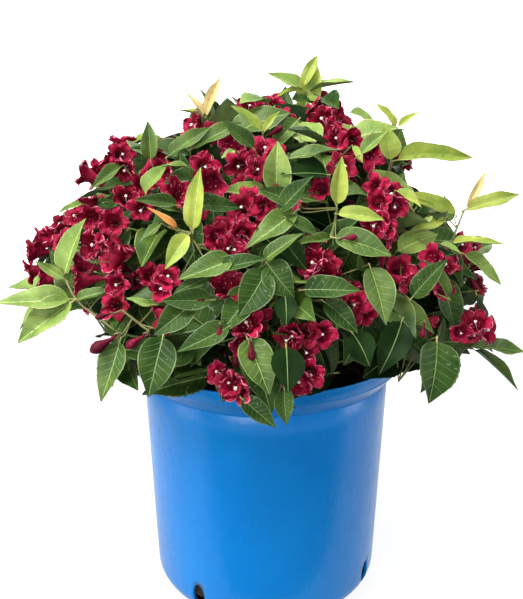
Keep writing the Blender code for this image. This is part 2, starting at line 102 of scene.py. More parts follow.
# %% Finish helpers
def node(tree, kind, **values):
    """A new node, whose inputs get these values."""
    made = tree.nodes.new(f"ShaderNode{kind}")
    for key, value in values.items():
        made.inputs[key.replace("_", " ")].default_value = value
    return made


def new_finish(name, roughness, gloss):
    """An empty finish: its material, its node tree and its Principled shader."""
    made = bpy.data.materials.new(name)
    made.use_nodes = True
    shader = made.node_tree.nodes["Principled BSDF"]
    shader.inputs["Roughness"].default_value = roughness
    shader.inputs["Specular IOR Level"].default_value = gloss
    return made, made.node_tree, shader


def noise_at(tree, cell, detail=3.0, stretch=(1, 1, 1)):
    """Noise whose features are about one cell wide, in metres."""
    place, scale = node(tree, "TexCoord"), node(tree, "Mapping", Scale=stretch)
    noise = node(tree, "TexNoise", Scale=1 / cell, Detail=detail)
    tree.links.new(place.outputs["Object"], scale.inputs["Vector"])
    tree.links.new(scale.outputs["Vector"], noise.inputs["Vector"])
    return noise.outputs["Fac"]


def spread_tints(tree, factor, tints, low=0.35):
    """A colour that goes from the first tint to the second round the middle of the factor."""
    ramp = node(tree, "ValToRGB")
    for stop, tint, place in zip(ramp.color_ramp.elements, tints, (low, 1 - low)):
        stop.position, stop.color = place, (*tint, 1)
    tree.links.new(factor, ramp.inputs["Fac"])
    return ramp.outputs["Color"]


def add_bump(tree, shader, height, distance):
    """Relief from a height, with its distance in metres."""
    bump = node(tree, "Bump", Distance=distance)
    tree.links.new(height, bump.inputs["Height"])
    tree.links.new(bump.outputs["Normal"], shader.inputs["Normal"])


def mottled(name, first, second, cell, roughness, gloss=0.5, bump_cell=0.001, bump=0.0001):
    """A finish that wanders between two tints, with fine relief."""
    made, tree, shader = new_finish(name, roughness, gloss)
    tree.links.new(spread_tints(tree, noise_at(tree, cell), (first, second)), shader.inputs["Base Color"])
    add_bump(tree, shader, noise_at(tree, bump_cell), bump)
    return made


def grained(name, tints, roughness, gloss, drift, grain, shades, share, relief, stretch=(1, 1, 1)):
    """A finish that drifts between two tints from leaf to leaf, under a finer grain, with relief."""
    made, tree, shader = new_finish(name, roughness, gloss)
    blend = node(tree, "Mix")
    blend.data_type, blend.blend_type = "RGBA", "MULTIPLY"
    blend.inputs["Factor"].default_value = share
    for socket, (cell, low), detail, pair in (("A", drift, 2.0, tints), ("B", grain, 4.0, shades)):
        tree.links.new(spread_tints(tree, noise_at(tree, cell, detail), pair, low), blend.inputs[socket])
    tree.links.new(blend.outputs["Result"], shader.inputs["Base Color"])
    add_bump(tree, shader, noise_at(tree, relief[0], 4.0, stretch), relief[1])
    return made


print("finish helpers are ready")

# %% [markdown]
# ## Helpers for meshes
# A shrub has hundreds of leaves. Each could be an object, but that is slow, and an export wants joined meshes.
# So a unit leaf is an array of points and one of faces, and it is dealt out to many places at once by
# multiplying its points with a matrix for each place.


# %% Mesh helpers
def mesh_from(name, points, faces):
    """A smooth mesh from an array of points and one of faces that all have as many corners."""
    mesh = bpy.data.meshes.new(name)
    mesh.vertices.add(len(points))
    mesh.vertices.foreach_set("co", np.ascontiguousarray(points, dtype=np.float32).ravel())
    mesh.loops.add(faces.size)
    mesh.loops.foreach_set("vertex_index", np.ascontiguousarray(faces, dtype=np.int32).ravel())
    mesh.polygons.add(len(faces))
    mesh.polygons.foreach_set("loop_start", np.arange(0, faces.size, faces.shape[1], dtype=np.int32))
    mesh.polygons.foreach_set("use_smooth", np.ones(len(faces), dtype=bool))
    mesh.update(calc_edges=True)
    return mesh


def add_piece(name, made, finish, replaced=()):
    """A piece of the plant from a mesh or (points, faces), and the nodes that it stands for."""
    mesh = mesh_from(name, *made) if isinstance(made, tuple) else made
    piece = placed(name, mesh)
    if not mesh.materials:
        mesh.materials.append(finish)
    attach(piece, "root")
    if replaced:
        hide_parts(*replaced)
    mesh.calc_loop_triangles()
    print(f"{name}: {len(mesh.loop_triangles)} triangles")
    return piece


def grid_faces(rows, columns, closed=False):
    """Four-sided faces between rows of points, closed into a tube if asked."""
    spans = columns if closed else columns - 1
    row, column = (a.ravel() for a in np.meshgrid(np.arange(rows - 1), np.arange(spans), indexing="ij"))
    after = (column + 1) % columns
    corners = [(row, column), (row, after), (row + 1, after), (row + 1, column)]
    return np.stack([r * columns + c for r, c in corners], axis=1)


def strip(first, second):
    """The band between two rows of as many points, as (points, faces)."""
    return np.stack([first, second], axis=1).reshape(-1, 3), grid_faces(len(first), 2)


def dealt(unit, matrices):
    """A unit (points, faces) pair copied to every matrix."""
    points, faces = unit
    places = np.array([[list(row) for row in matrix] for matrix in matrices])
    moved = np.einsum("nij,vj->nvi", places[:, :3, :3], points) + places[:, None, :3, 3]
    offsets = np.arange(len(matrices))[:, None, None] * len(points)
    return moved.reshape(-1, 3), (faces[None] + offsets).reshape(-1, faces.shape[1])


def joined(parts):
    """Several (points, faces) pairs as one."""
    starts = np.cumsum([0] + [len(points) for points, _ in parts])
    faces = [faces + start for (_, faces), start in zip(parts, starts)]
    return np.concatenate([points for points, _ in parts]), np.concatenate(faces)


def angles_round(count, start=0):
    return [tau * (step + start) / count for step in range(count)]


def at_turn(angle, radius=1.0, height=0.0):
    """A point at an angle round the Z axis."""
    return radius * cos(angle), radius * sin(angle), height


def tube(path, radii, sides):
    """A tube along a path, as (points, faces). Its rings are carried along without twisting."""
    rings, across = [], None
    for number, (point, radius) in enumerate(zip(path, radii)):
        before, after = path[max(0, number - 1)], path[min(len(path) - 1, number + 1)]
        axis = (after - before).normalized()
        across = axis.orthogonal() if across is None else across - axis * across.dot(axis)
        across.normalize()
        beside = axis.cross(across)
        rings += [point + (across * cos(angle) + beside * sin(angle)) * radius for angle in angles_round(sides)]
    return np.array(rings), grid_faces(len(path), sides, closed=True)[:, ::-1]


print("mesh helpers are ready")

# %% [markdown]
# ## The pot
# A blow-moulded nursery pot has a straight lip, a sloping shoulder under it, a body that tapers a little, and
# a foot with a large round corner. The solid's section is turned with four times as many sides, with rounded
# edges and the two fine mould lines that catch the light.

# %% Pot section
POT_HEIGHT, RIM_RADIUS, RIM_BAND, RIM_SHOULDER = 0.212, 0.114, 0.009, 0.013
BODY_TOP_RADIUS, BODY_FOOT_RADIUS, BASE_CORNER, WALL = 0.1025, 0.0965, 0.0185, 0.0022
LIP_ROUND, MOULD_LINE, POT_TURNS = 0.0009, 0.0008, 144
BAND, SHOULDER = POT_HEIGHT - RIM_BAND, POT_HEIGHT - RIM_BAND - RIM_SHOULDER
BAND_EDGE = ((0, 0.0010), (-MOULD_LINE, 0.0004), (-0.0004, -0.0003), (-0.0012, -0.0012))
SHOULDER_EDGE = ((0.0010, 0.0010), (0.0003, 0), (-MOULD_LINE, -0.0006), (-0.0001, -0.0014))


def arc(centre, radius, start, end, steps):
    """Points on an arc, in (radius, height), with its angles in degrees."""
    angles = [radians(start + (end - start) * step / steps) for step in range(steps + 1)]
    return [(centre[0] + radius * cos(angle), centre[1] + radius * sin(angle)) for angle in angles]


def turned(section, turns):
    """A section in (radius, height) turned about the Z axis, as (points, faces)."""
    angles = np.arange(turns) * tau / turns
    radius, height = (np.array(column)[:, None] for column in zip(*section))
    points = np.stack([radius * np.cos(angles), radius * np.sin(angles), height + 0 * angles], axis=2)
    return points.reshape(-1, 3), grid_faces(len(section), turns, closed=True)[:, ::-1]


def welded(mesh, first_inside_row=None, turns=1):
    """Welds the points that meet on the axis and at the lip, and turns all faces outward."""
    bm = bmesh.new()
    bm.from_mesh(mesh)
    if first_inside_row:
        for number, face in enumerate(bm.faces):
            face.material_index = int(number // turns >= first_inside_row)
    bmesh.ops.remove_doubles(bm, verts=bm.verts, dist=0.00001)
    bmesh.ops.recalc_face_normals(bm, faces=bm.faces)
    bm.to_mesh(mesh)
    bm.free()
    return mesh


outside = arc((RIM_RADIUS - LIP_ROUND, POT_HEIGHT - LIP_ROUND), LIP_ROUND, 90, 0, 5)
outside += [(RIM_RADIUS + out, BAND + up) for out, up in BAND_EDGE]
outside += [(BODY_TOP_RADIUS + out, SHOULDER + up) for out, up in SHOULDER_EDGE]
for share in [step / 10 for step in range(1, 10)]:
    radius = BODY_TOP_RADIUS + (BODY_FOOT_RADIUS - BODY_TOP_RADIUS) * share
    outside.append((radius, SHOULDER - 0.0014 + (BASE_CORNER - SHOULDER + 0.0014) * share))
corner = (BODY_FOOT_RADIUS - BASE_CORNER, BASE_CORNER)
outside += arc(corner, BASE_CORNER, 0, -90, 12) + [(0, 0)]
inside = [(0, WALL), *arc(corner, BASE_CORNER - WALL, -90, 0, 8)]
inside += [(BODY_TOP_RADIUS - WALL, SHOULDER), (RIM_RADIUS - WALL, BAND)]
inside += arc((RIM_RADIUS - WALL + LIP_ROUND, POT_HEIGHT - LIP_ROUND), LIP_ROUND, 180, 90, 5)
pot_mesh = mesh_from("pot_shell", *turned(outside + inside + outside[:1], POT_TURNS))
welded(pot_mesh, first_inside_row=len(outside), turns=POT_TURNS)
print("pot section:", len(outside + inside), "points, faces:", len(pot_mesh.polygons))

# %% [markdown]
# The pot is moulded from a satin blue plastic. Its inside is coloured almost black, which is painted shade in
# the pot's hollow. A satin surface needs a broad, soft highlight, so the roughness is fairly high and wanders a
# little where hands have rubbed it. A very shallow ripple stands for the unevenness of a blow-moulded wall.

# %% Pot finish
POT_BLUES = ((0.002, 0.175, 0.550), (0.002, 0.205, 0.610))

pot_finish, tree, shader = new_finish("satin_blue_plastic", 0.3, 0.27)
tree.links.new(spread_tints(tree, noise_at(tree, 0.09, 2.0), POT_BLUES), shader.inputs["Base Color"])
rubbed = node(tree, "MapRange", To_Min=0.22, To_Max=0.34)
tree.links.new(noise_at(tree, 0.02, 5.0, (1, 1, 0.35)), rubbed.inputs["Value"])
tree.links.new(rubbed.outputs["Result"], shader.inputs["Roughness"])
add_bump(tree, shader, noise_at(tree, 0.012, 4.0), 0.0006)
# The inside's near-black colour is painted shade in the pot's hollow.
inside_painted_shade_finish = mottled("inside_plastic_painted_shade", (0.006, 0.008, 0.016), (0.010, 0.014, 0.026), 0.03, 0.5, 0.4)
print("pot finishes:", pot_finish.name, inside_painted_shade_finish.name)

# %% [markdown]
# Four upright drainage slots are cut through the round corner of the foot. They could be modelled into the
# rows of the mesh, but a Boolean with an oval bar leaves a clean edge at any place.

# %% Cut the drainage slots
SLOT_AZIMUTHS = (-124.5, -29.5, 55.5, 150.5)
SLOT_WIDTH, SLOT_HEIGHT, SLOT_TOP, SLOT_DEPTH, SLOT_SIDES = 0.0115, 0.023, 0.031, 0.024, 48

bars = bpy.data.collections.new("slot_bars")
bpy.context.scene.collection.children.link(bars)
for angle in [radians(azimuth) for azimuth in SLOT_AZIMUTHS]:
    bm = bmesh.new()
    bmesh.ops.create_cone(bm, cap_ends=True, segments=SLOT_SIDES, radius1=0.5, radius2=0.5, depth=1)
    bmesh.ops.scale(bm, vec=(SLOT_HEIGHT, SLOT_WIDTH, SLOT_DEPTH * 2), verts=bm.verts)
    place = Vector(at_turn(angle)) * BODY_FOOT_RADIUS
    place.z = SLOT_TOP - SLOT_HEIGHT / 2
    turn = Matrix.Rotation(angle, 4, "Z") @ Matrix.Rotation(radians(90), 4, "Y")
    bmesh.ops.transform(bm, matrix=Matrix.Translation(place) @ turn, verts=bm.verts)
    bar = bpy.data.meshes.new("slot_bar")
    bm.to_mesh(bar)
    bm.free()
    bars.objects.link(bpy.data.objects.new("slot_bar", bar))
pot_mesh.materials.append(pot_finish)
pot_mesh.materials.append(inside_painted_shade_finish)
shell = placed("shell", pot_mesh)
cut = shell.modifiers.new("slots", "BOOLEAN")
cut.operand_type, cut.collection, cut.solver = "COLLECTION", bars, "EXACT"
bpy.context.view_layer.update()
cut_mesh = bpy.data.meshes.new_from_object(shell.evaluated_get(bpy.context.evaluated_depsgraph_get()))
for tool in [shell, *bars.objects]:
    bpy.data.objects.remove(tool)
bpy.data.collections.remove(bars)
add_piece("nursery_pot", cut_mesh, pot_finish, ["pot"])
inside_share = sum(face.material_index for face in cut_mesh.polygons) / len(cut_mesh.polygons)
print("share of faces inside:", round(inside_share, 2))

# %% [markdown]
# ## The potting mix
# Potting mix is composted bark: dark brown crumbs with chips a few millimetres wide on top. A height map
# could give the surface, but rings moved by layered waves need no image, and the chips are one unit wedge
# dealt out by a seeded draw. The mix goes down the pot's inside as one closed body, as its solid does.

# %% Potting mix
CLEARANCE, MIX_TOP = 0.0003, POT_HEIGHT - 0.027
MIX_RADIUS, MIX_FOOT = BODY_TOP_RADIUS - WALL - CLEARANCE, BODY_FOOT_RADIUS - WALL - CLEARANCE
MIX_RINGS, MIX_TURNS, CRUMB_HEIGHT = 40, 120, 0.0011
CHIPS = 420


def crumbs(x, y):
    """The height of the mix's uneven surface, from waves that cross at odd angles."""
    height = np.zeros_like(x)
    for number in range(1, 15):
        turn, wave = number * 2.399, 110 * number**0.72
        height += np.sin(wave * (x * cos(turn) + y * sin(turn)) + number) / number**0.6
    return height * CRUMB_HEIGHT / 3


section = [(MIX_RADIUS * ring / MIX_RINGS, MIX_TOP) for ring in range(MIX_RINGS + 1)]
section += [(MIX_FOOT, BASE_CORNER), (MIX_FOOT - 0.012, WALL + 0.004), (MIX_FOOT - 0.017, WALL + CLEARANCE)]
points, faces = turned(section + [(0, WALL + CLEARANCE)], MIX_TURNS)
x, y, z = points.T
fade = np.clip((MIX_RADIUS - np.hypot(x, y)) / 0.004, 0, 1)
points[:, 2] += np.where(z > MIX_TOP - 0.00001, crumbs(x, y) * fade, 0)
mix_finish = mottled("composted_bark", (0.010, 0.006, 0.004), (0.045, 0.026, 0.015), 0.0035, 0.95, 0.2, 0.0008, 0.0006)
add_piece("potting_mix_surface", welded(mesh_from("mix", points, faces)), mix_finish, ["potting_mix"])

# %% Bark chips
CHIP_OUTLINE = ((-0.5, -0.16), (-0.1, -0.24), (0.45, -0.12), (0.52, 0.1), (0.05, 0.22), (-0.42, 0.17))

points = [(x * grow, y * grow, z) for z, grow in ((-0.09, 1.0), (0.09, 0.82)) for x, y in CHIP_OUTLINE]
faces = [(i, (i + 1) % 6, (i + 1) % 6 + 6, i + 6) for i in range(6)]
chip = np.array(points), np.array(faces + [(3, 2, 1, 0), (5, 4, 3, 0), (6, 7, 8, 9), (6, 9, 10, 11)])
rng = random.Random("bark chips")
chip_places = []
for _ in range(CHIPS):
    turn, reach = rng.uniform(0, tau), MIX_RADIUS * 0.97 * sqrt(rng.random())
    tilt = Matrix.Rotation(rng.uniform(0, tau), 4, "Z") @ Matrix.Rotation(rng.uniform(-0.4, 0.4), 4, "X")
    place = Matrix.Translation(Vector(at_turn(turn, reach, MIX_TOP + 0.0006)))
    chip_places.append(place @ tilt @ Matrix.Scale(rng.uniform(0.004, 0.012), 4))
chip_finish = mottled("bark_chips", (0.030, 0.017, 0.010), (0.105, 0.062, 0.034), 0.006, 0.9, 0.25, 0.0007, 0.0004)
add_piece("bark_chips_on_mix", dealt(chip, chip_places), chip_finish)

# %% [markdown]
# ## The growth rule
# This rule shaped the solids. It is written out again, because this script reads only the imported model. Every
# mass of leaves keeps to its own wedge of the crown. A stem leads on from its bough, side shoots leave it for
# headings spread over the crown, and each carries opposite pairs of leaves. The same seeds give the same
# shoots, so what is grown here lies where the solids lie.

# %% Sizes of the crown, its shoots, leaves and flowers
GROUND, KNOB_RADIUS = MIX_TOP + CLEARANCE, 0.015
KNOB_CENTRE, CENTRE = Vector((0, 0, GROUND + 0.017)), Vector((0.0, 0.0, 0.235))
UP, FRONT, GOLDEN_ANGLE = Vector((0, 0, 1)), Vector((0, -1, 0)), pi * (3 - sqrt(5))
# Each mass: azimuth and elevation of its heading, and its reach.
MASSES = {
    "crown_top": (4, 80, 0.211), "top_left": (-140, 74, 0.198), "top_back": (98, 60, 0.194),
    "top_front": (-84, 56, 0.196), "upper_right": (-5, 56, 0.201), "upper_back_right": (46, 36, 0.200),
    "upper_back": (98, 28, 0.202), "upper_back_left": (147, 33, 0.198), "upper_left": (-172, 38, 0.194),
    "upper_front_left": (-126, 36, 0.200), "upper_front_right": (-44, 35, 0.202), "front": (-87, 22, 0.208),
    "right": (1, 27, 0.226), "low_right": (-19, -3, 0.212), "low_front_right": (-51, -5, 0.190),
    "low_front": (-98, -8, 0.178), "low_front_left": (-139, 7, 0.196), "left": (-175, 8, 0.217),
    "low_back_left": (146, 0, 0.206), "low_back": (101, -2, 0.203), "low_back_right": (52, -1, 0.207),
}
BOUGH_REACH, BOUGH_STRAIGHT, BOUGH_FOOT_RADIUS, BOUGH_TIP_RADIUS = 0.078, 0.005, 0.0022, 0.0020
LOWEST_KNOB_ANGLE, KNOB_ANGLE_SHARE = 18.0, 0.72
FRINGE_SIDE, FRINGE_TOP, UNDERCUT, LEADER_CONE = 0.203, 0.190, 0.42, 10
INNER_LIMIT, WEDGE_MARGIN, POT_MARGIN, BETWEEN = 0.082, 0.0006, 0.0022, 6
STEM_RADIUS, STEM_POINTS, STEM_SWAY = 0.0023, 5, 0.004
SIDE_SHOOTS, SIDE_REACH, TOP_REACH, LOWEST_SHOOT, LEADER_ROOM = 134, 0.168, 0.167, -0.17, 7.7
SHOOT_RADIUS, SHOOT_POINTS, SHOOT_BEND, TWIG_TAPER = 0.0012, 3, 0.35, 0.7
# Each pair of leaves: its share of the shoot, its spread in degrees and its size.
LEADER_PAIRS = ((0.45, 70, 0.95), (0.72, 62, 1.0), (0.96, 32, 0.86))
SIDE_PAIRS = ((0.60, 70, 1.0), (0.92, 58, 0.92))
LEAF_LENGTH, LEAF_WIDTH, LEAF_THICKNESS, LEAF_WIDEST, LEAF_NECK = 0.058, 0.56, 0.020, 0.42, 0.16
LEAF_KEEL, LEAF_LIFT, LEAF_DROOP, LIGHT_LEAN, END_LEAF = 0.035, 0.055, 0.13, 0.55, 0.74
ROOT_GAP, END_SUNK = 0.0002, 0.0020
FLOWER_LENGTH, FLOWER_MOUTH, FLOWER_NECK, FLOWER_SIDES = 0.030, 0.0115, 0.25, 5
FLOWERS_IN_CLUSTER, FLOWERING_SHARE, BLOSSOM_ROOM = 2, 0.56, 9.0
BLOSSOMS = (
    (-112, 59), (-91, 67), (-158, 48), (-125, 49), (-114, 41), (-96, 48), (-134, 33), (-148, 31), (-167, 20),
    (-133, 23), (-99, 33), (-122, 19), (-111, 25), (-97, 22), (-58, 66), (-60, 53), (-77, 43), (-60, 39),
    (-78, 28), (-50, 24), (-69, 20), (-83, 11), (-42, 9), (-113, 13), (-98, 10), (-97, 2),
)
TRIES, TURN_PER_TRY, SHRINK_PER_TRY = 6, 5.5, 0.055
print("masses:", len(MASSES), "named flower clusters:", len(BLOSSOMS))


# %% Headings and paths
def direction(azimuth, elevation):
    a, e = radians(azimuth), radians(elevation)
    return Vector((cos(a) * cos(e), sin(a) * cos(e), sin(e)))


def on_ball(height, turn, nudge=0.0):
    """A direction from its height on a unit ball and its turn."""
    flat = sqrt(1 - height * height)
    return Vector((flat * cos(turn), flat * sin(turn), height + nudge))


HEADINGS = {name: direction(azimuth, elevation) for name, (azimuth, elevation, _) in MASSES.items()}
WEDGE_SIDES = {
    name: [(mine - other).normalized() for key, other in HEADINGS.items() if key != name]
    for name, mine in HEADINGS.items()
}


def nearest_mass(heading):
    return max(HEADINGS, key=lambda name: HEADINGS[name].dot(heading))


def bezier(a, b, c, d, count):
    """Points along the cubic curve that these four control points give."""
    points = []
    for step in range(count):
        t = step / (count - 1)
        s = 1 - t
        points.append(a * s**3 + b * 3 * s * s * t + c * 3 * s * t * t + d * t**3)
    return points


def bough_path(name, bends):
    """From the knob round to the mass's heading, with a short straight at each end."""
    azimuth, elevation, _ = MASSES[name]
    lowest = min(entry[1] for entry in MASSES.values())
    away = direction(azimuth, LOWEST_KNOB_ANGLE + (elevation - lowest) * KNOB_ANGLE_SHARE)
    heading = HEADINGS[name]
    start, end = KNOB_CENTRE + away * (KNOB_RADIUS + CLEARANCE), CENTRE + heading * BOUGH_REACH
    bend_start, bend_end = start + away * BOUGH_STRAIGHT, end - heading * BOUGH_STRAIGHT
    pull = (bend_end - bend_start).length / 3
    return [start, *bezier(bend_start, bend_start + away * pull, bend_end - heading * pull, bend_end, bends), end]


def stem_path(name, rng):
    """The mass's own stem: it leads on from the bough's tip and ends a leaf short of the reach."""
    heading, reach = HEADINGS[name], MASSES[name][2]
    start = CENTRE + heading * (BOUGH_REACH + CLEARANCE)
    end = CENTRE + heading * (reach - LEAF_LENGTH * END_LEAF)
    sway = heading.cross(UP).normalized() * rng.uniform(-STEM_SWAY, STEM_SWAY) + UP * STEM_SWAY
    return bezier(start, start.lerp(end, 1 / 3), start.lerp(end, 2 / 3) + sway, end, STEM_POINTS)


def drawn_in(side, top, heading):
    """A length that falls from side to top towards the zenith and is drawn in below the widest line."""
    return side - (side - top) * max(0, heading.z) ** 2 - UNDERCUT * max(0, -heading.z)


def fringe(heading):
    """How far out the crown's outline lies."""
    return drawn_in(FRINGE_SIDE, FRINGE_TOP, heading)


def side_path(name, heading, stem, rng):
    """A side shoot: it leaves the stem low down when its end is far to the side, and bends outward."""
    spread = degrees(HEADINGS[name].angle(heading))
    start = stem[0].lerp(stem[-1], max(0.12, min(0.72, 0.72 - spread / 60 + rng.uniform(-0.06, 0.06))))
    end = CENTRE + heading * drawn_in(SIDE_REACH, TOP_REACH, heading) * rng.uniform(0.90, 1.04)
    length = (end - start).length
    leaving = start + (HEADINGS[name] + heading * 1.4).normalized() * length * SHOOT_BEND
    arriving = end - (heading + UP * 0.15).normalized() * length * SHOOT_BEND
    return bezier(start, leaving, arriving, end, SHOOT_POINTS)


# The blossoms' headings, and then headings spread evenly by the golden angle, a little out of line.
rng = random.Random("side shoots")
named = [direction(azimuth, elevation) for azimuth, elevation in BLOSSOMS]
SIDE_HEADINGS = list(named)
for number in range(SIDE_SHOOTS):
    height = 1 - (number + 0.5) / SIDE_SHOOTS * (1 - LOWEST_SHOOT)
    heading = on_ball(height, GOLDEN_ANGLE * number + rng.uniform(-0.07, 0.07), rng.uniform(-0.02, 0.02))
    heading.normalize()
    if all(heading.dot(blossom) < cos(radians(BLOSSOM_ROOM)) for blossom in named):
        SIDE_HEADINGS.append(heading)
print("headings:", len(SIDE_HEADINGS))


# %% Where things may grow
def clear_of_pot(point):
    return point.z > POT_HEIGHT + POT_MARGIN or hypot(point.x, point.y) > RIM_RADIUS + POT_MARGIN


def clear_between(corners, inner):
    """Whether the lines between the corners keep clear of the pot and of the space inside."""
    for first, second in combinations(corners, 2):
        for step in range(1, BETWEEN):
            point = first.lerp(second, step / BETWEEN)
            if not clear_of_pot(point) or (point - CENTRE).length < inner:
                return False
    return all(clear_of_pot(corner) for corner in corners)


def allowed(name, corners):
    """Whether a shape keeps to the mass's wedge, outside the boughs' tips and inside the crown's outline."""
    for arm in [corner - CENTRE for corner in corners]:
        heading = arm.normalized()
        by_the_stem = HEADINGS[name].dot(heading) > cos(radians(LEADER_CONE))
        outer = max(fringe(heading), MASSES[name][2]) if by_the_stem else fringe(heading)
        if not INNER_LIMIT < arm.length < outer or any(arm.dot(side) <= WEDGE_MARGIN for side in WEDGE_SIDES[name]):
            return False
    return clear_between(corners, INNER_LIMIT)


print("the rim is kept clear by", POT_MARGIN * 1000, "mm")


# %% What would cross what
def shape_of(places, faces):
    """A shape to test for crossings: its tree of triangles, its middle and its reach from there."""
    middle = sum(places, Vector()) / len(places)
    return BVHTree.FromPolygons(places, faces), middle, max((place - middle).length for place in places)


def crosses(shape, taken):
    """Whether a shape crosses any that is taken. Those too far away aren't tried."""
    tree, middle, reach = shape
    return any((middle - there).length < reach + room and tree.overlap(other) for other, there, room in taken)


def twig_shape(path):
    """A twig as a row of slim triangles."""
    slim = Vector((0.0004, 0.0004, 0))
    points = [place for pair in zip(path, path[1:]) for place in (*pair, pair[0] + slim)]
    return shape_of(points, [(i, i + 1, i + 2) for i in range(0, len(points), 3)])


FOOT, TIP = Vector((0, 0, 0)), Vector((1, 0, -LEAF_DROOP))
LEFT, RIGHT = (Vector((LEAF_WIDEST, side * LEAF_WIDTH / 2, LEAF_LIFT)) for side in (1, -1))
TOP, UNDER = (Vector((LEAF_WIDEST, 0, side * LEAF_THICKNESS / 2 - LEAF_KEEL)) for side in (1, -1))


def blade_shape(matrix):
    """A leaf's blade from its neck out, because its foot lies in its twig."""
    neck = FOOT.lerp(TOP, LEAF_NECK / LEAF_WIDEST)
    return shape_of([matrix @ corner for corner in (neck, LEFT, TIP, RIGHT)], [(0, 1, 2), (0, 2, 3)])


def flower_shape(matrix, slim=1.0):
    """A trumpet from its neck out, and the corners of its mouth."""
    mouth = FLOWER_MOUTH / FLOWER_LENGTH * slim
    rim = [matrix @ Vector(at_turn(angle, mouth, 1)) for angle in angles_round(FLOWER_SIDES)]
    sides = [(0, 1 + i, 1 + (i + 1) % FLOWER_SIDES) for i in range(FLOWER_SIDES)]
    return shape_of([matrix @ Vector((0, 0, FLOWER_NECK)), *rim], sides), rim


print("a blade is", LEAF_WIDTH, "of its length wide, at", LEAF_WIDEST, "of its length")


# %% Leaves and flowers on a shoot
def along(path, share):
    """The point and the direction at a share of a path's points."""
    place = share * (len(path) - 1)
    low = min(int(place), len(path) - 2)
    return path[low].lerp(path[low + 1], place - low), (path[low + 1] - path[low]).normalized()


def beside(axis, turn):
    """A direction square to an axis, at a turn round it from the level."""
    return Quaternion(axis, turn) @ axis.cross(UP).normalized()


def any_side(axis, rng):
    return Quaternion(axis, rng.uniform(0, tau)) @ axis.orthogonal().normalized()


def grown_at(foot, away, turn, length):
    """The matrix of what grows from a foot."""
    return Matrix.Translation(foot + away * ROOT_GAP) @ turn.to_4x4() @ Matrix.Scale(length, 4)


def leaf_matrix(foot, away, facing, length):
    across = facing.cross(away).normalized()
    return grown_at(foot, away, Matrix((away, across, away.cross(across).normalized())).transposed(), length)


def flower_matrix(foot, away, length):
    return grown_at(foot, away, away.to_track_quat("Z", "Y").to_matrix(), length)


def leaf_pair(path, share, turn, spread, size, rng):
    """Two leaves opposite each other. Each is (foot, along, facing, length)."""
    foot, axis = along(path, share)
    outward = (foot - CENTRE).normalized()
    across = beside(axis, turn + rng.uniform(-0.35, 0.35))
    leaves = []
    for side in (1, -1):
        lean = radians(spread + rng.uniform(-9, 9))
        away = axis * cos(lean) + across * side * sin(lean)
        away = (away + outward * 0.12 - UP * rng.uniform(0.10, 0.42)).normalized()
        facing = UP * 0.75 + outward * 0.65 + FRONT * LIGHT_LEAN * max(0, outward.z)
        facing += Vector([rng.uniform(-0.2, 0.2) for _ in range(3)])
        leaves.append((foot, away, facing, LEAF_LENGTH * size * rng.uniform(0.84, 1.14)))
    return leaves


def flower_cluster(end, axis, rng):
    """Trumpets that spread from a shoot's end. Each is (foot, along, length)."""
    flowers, start = [], rng.uniform(0, tau)
    for number in range(FLOWERS_IN_CLUSTER):
        lean = radians(rng.uniform(32, 52))
        side = beside(axis, start + tau * number / FLOWERS_IN_CLUSTER)
        away = (axis * cos(lean) + side * sin(lean)).normalized()
        flowers.append((end - axis * END_SUNK, away, FLOWER_LENGTH * rng.uniform(0.86, 1.08)))
    return flowers


def trials(name, foot, away, length):
    """Directions turned in towards the middle line of the mass, and lengths that shrink, one for each try."""
    heading, arm = HEADINGS[name], foot - CENTRE
    inward = heading * arm.dot(heading) - arm
    for attempt in range(TRIES):
        yield (away + inward * TURN_PER_TRY * attempt).normalized(), length * (1 - SHRINK_PER_TRY * attempt)


def fitted_leaf(name, leaf, taken, fits=allowed):
    """The matrix of the first trial that fits, or None."""
    foot, away, facing, length = leaf
    for trial, short in trials(name, foot, away, length):
        matrix = leaf_matrix(foot, trial, facing, short)
        if fits(name, [matrix @ corner for corner in (FOOT, TIP, LEFT, RIGHT, TOP, UNDER)]):
            shape = blade_shape(matrix)
            if not crosses(shape, taken):
                taken.append(shape)
                return matrix
    return None


def fitted_flower(name, flower, taken):
    for trial, short in trials(name, *flower):
        matrix = flower_matrix(flower[0], trial, short)
        shape, rim = flower_shape(matrix)
        if allowed(name, [*rim, flower[0]]) and not crosses(shape, taken):
            taken.append(shape)
            return matrix
    return None


print("a leaf is tried", TRIES, "times")


# %% Grow the common part
def shoots_of(name):
    """Every shoot of a mass as (path, radius at its foot, kind, heading number): the stem comes first."""
    stem = stem_path(name, random.Random(f"stem {name}"))
    found = [(stem, STEM_RADIUS, "leader", None)]
    for number, heading in enumerate(SIDE_HEADINGS):
        if nearest_mass(heading) != name or HEADINGS[name].dot(heading) > cos(radians(LEADER_ROOM)):
            continue
        rng = random.Random(f"shoot {number}")
        path = side_path(name, heading, stem, rng)
        if allowed(name, path[1:]):
            in_flower = number < len(BLOSSOMS) or rng.random() < FLOWERING_SHARE
            found.append((path, SHOOT_RADIUS, "flowering" if in_flower else "leafy", number))
    return found


def dress(name, path, kind, rng, taken):
    """The leaf and flower matrices of one shoot, which are added to the space taken."""
    turn = rng.uniform(0, pi)
    end, axis = along(path, 1)
    leaves, flowers = [], []
    if kind == "flowering":
        flowers = [fitted_flower(name, flower, taken) for flower in flower_cluster(end, axis, rng)]
    for number, (share, spread, size) in enumerate(LEADER_PAIRS if kind == "leader" else SIDE_PAIRS):
        for leaf in leaf_pair(path, share, turn + number * pi / 2, spread, size, rng):
            leaves.append(fitted_leaf(name, leaf, taken))
    if kind == "leader":
        facing = UP * 0.75 + HEADINGS[name] * 0.3 + FRONT * LIGHT_LEAN * 1.5
        end_leaf = (end - axis * END_SUNK, axis, facing, LEAF_LENGTH * END_LEAF)
        leaves.append(fitted_leaf(name, end_leaf, taken))
    return leaves, [flower for flower in flowers if flower]


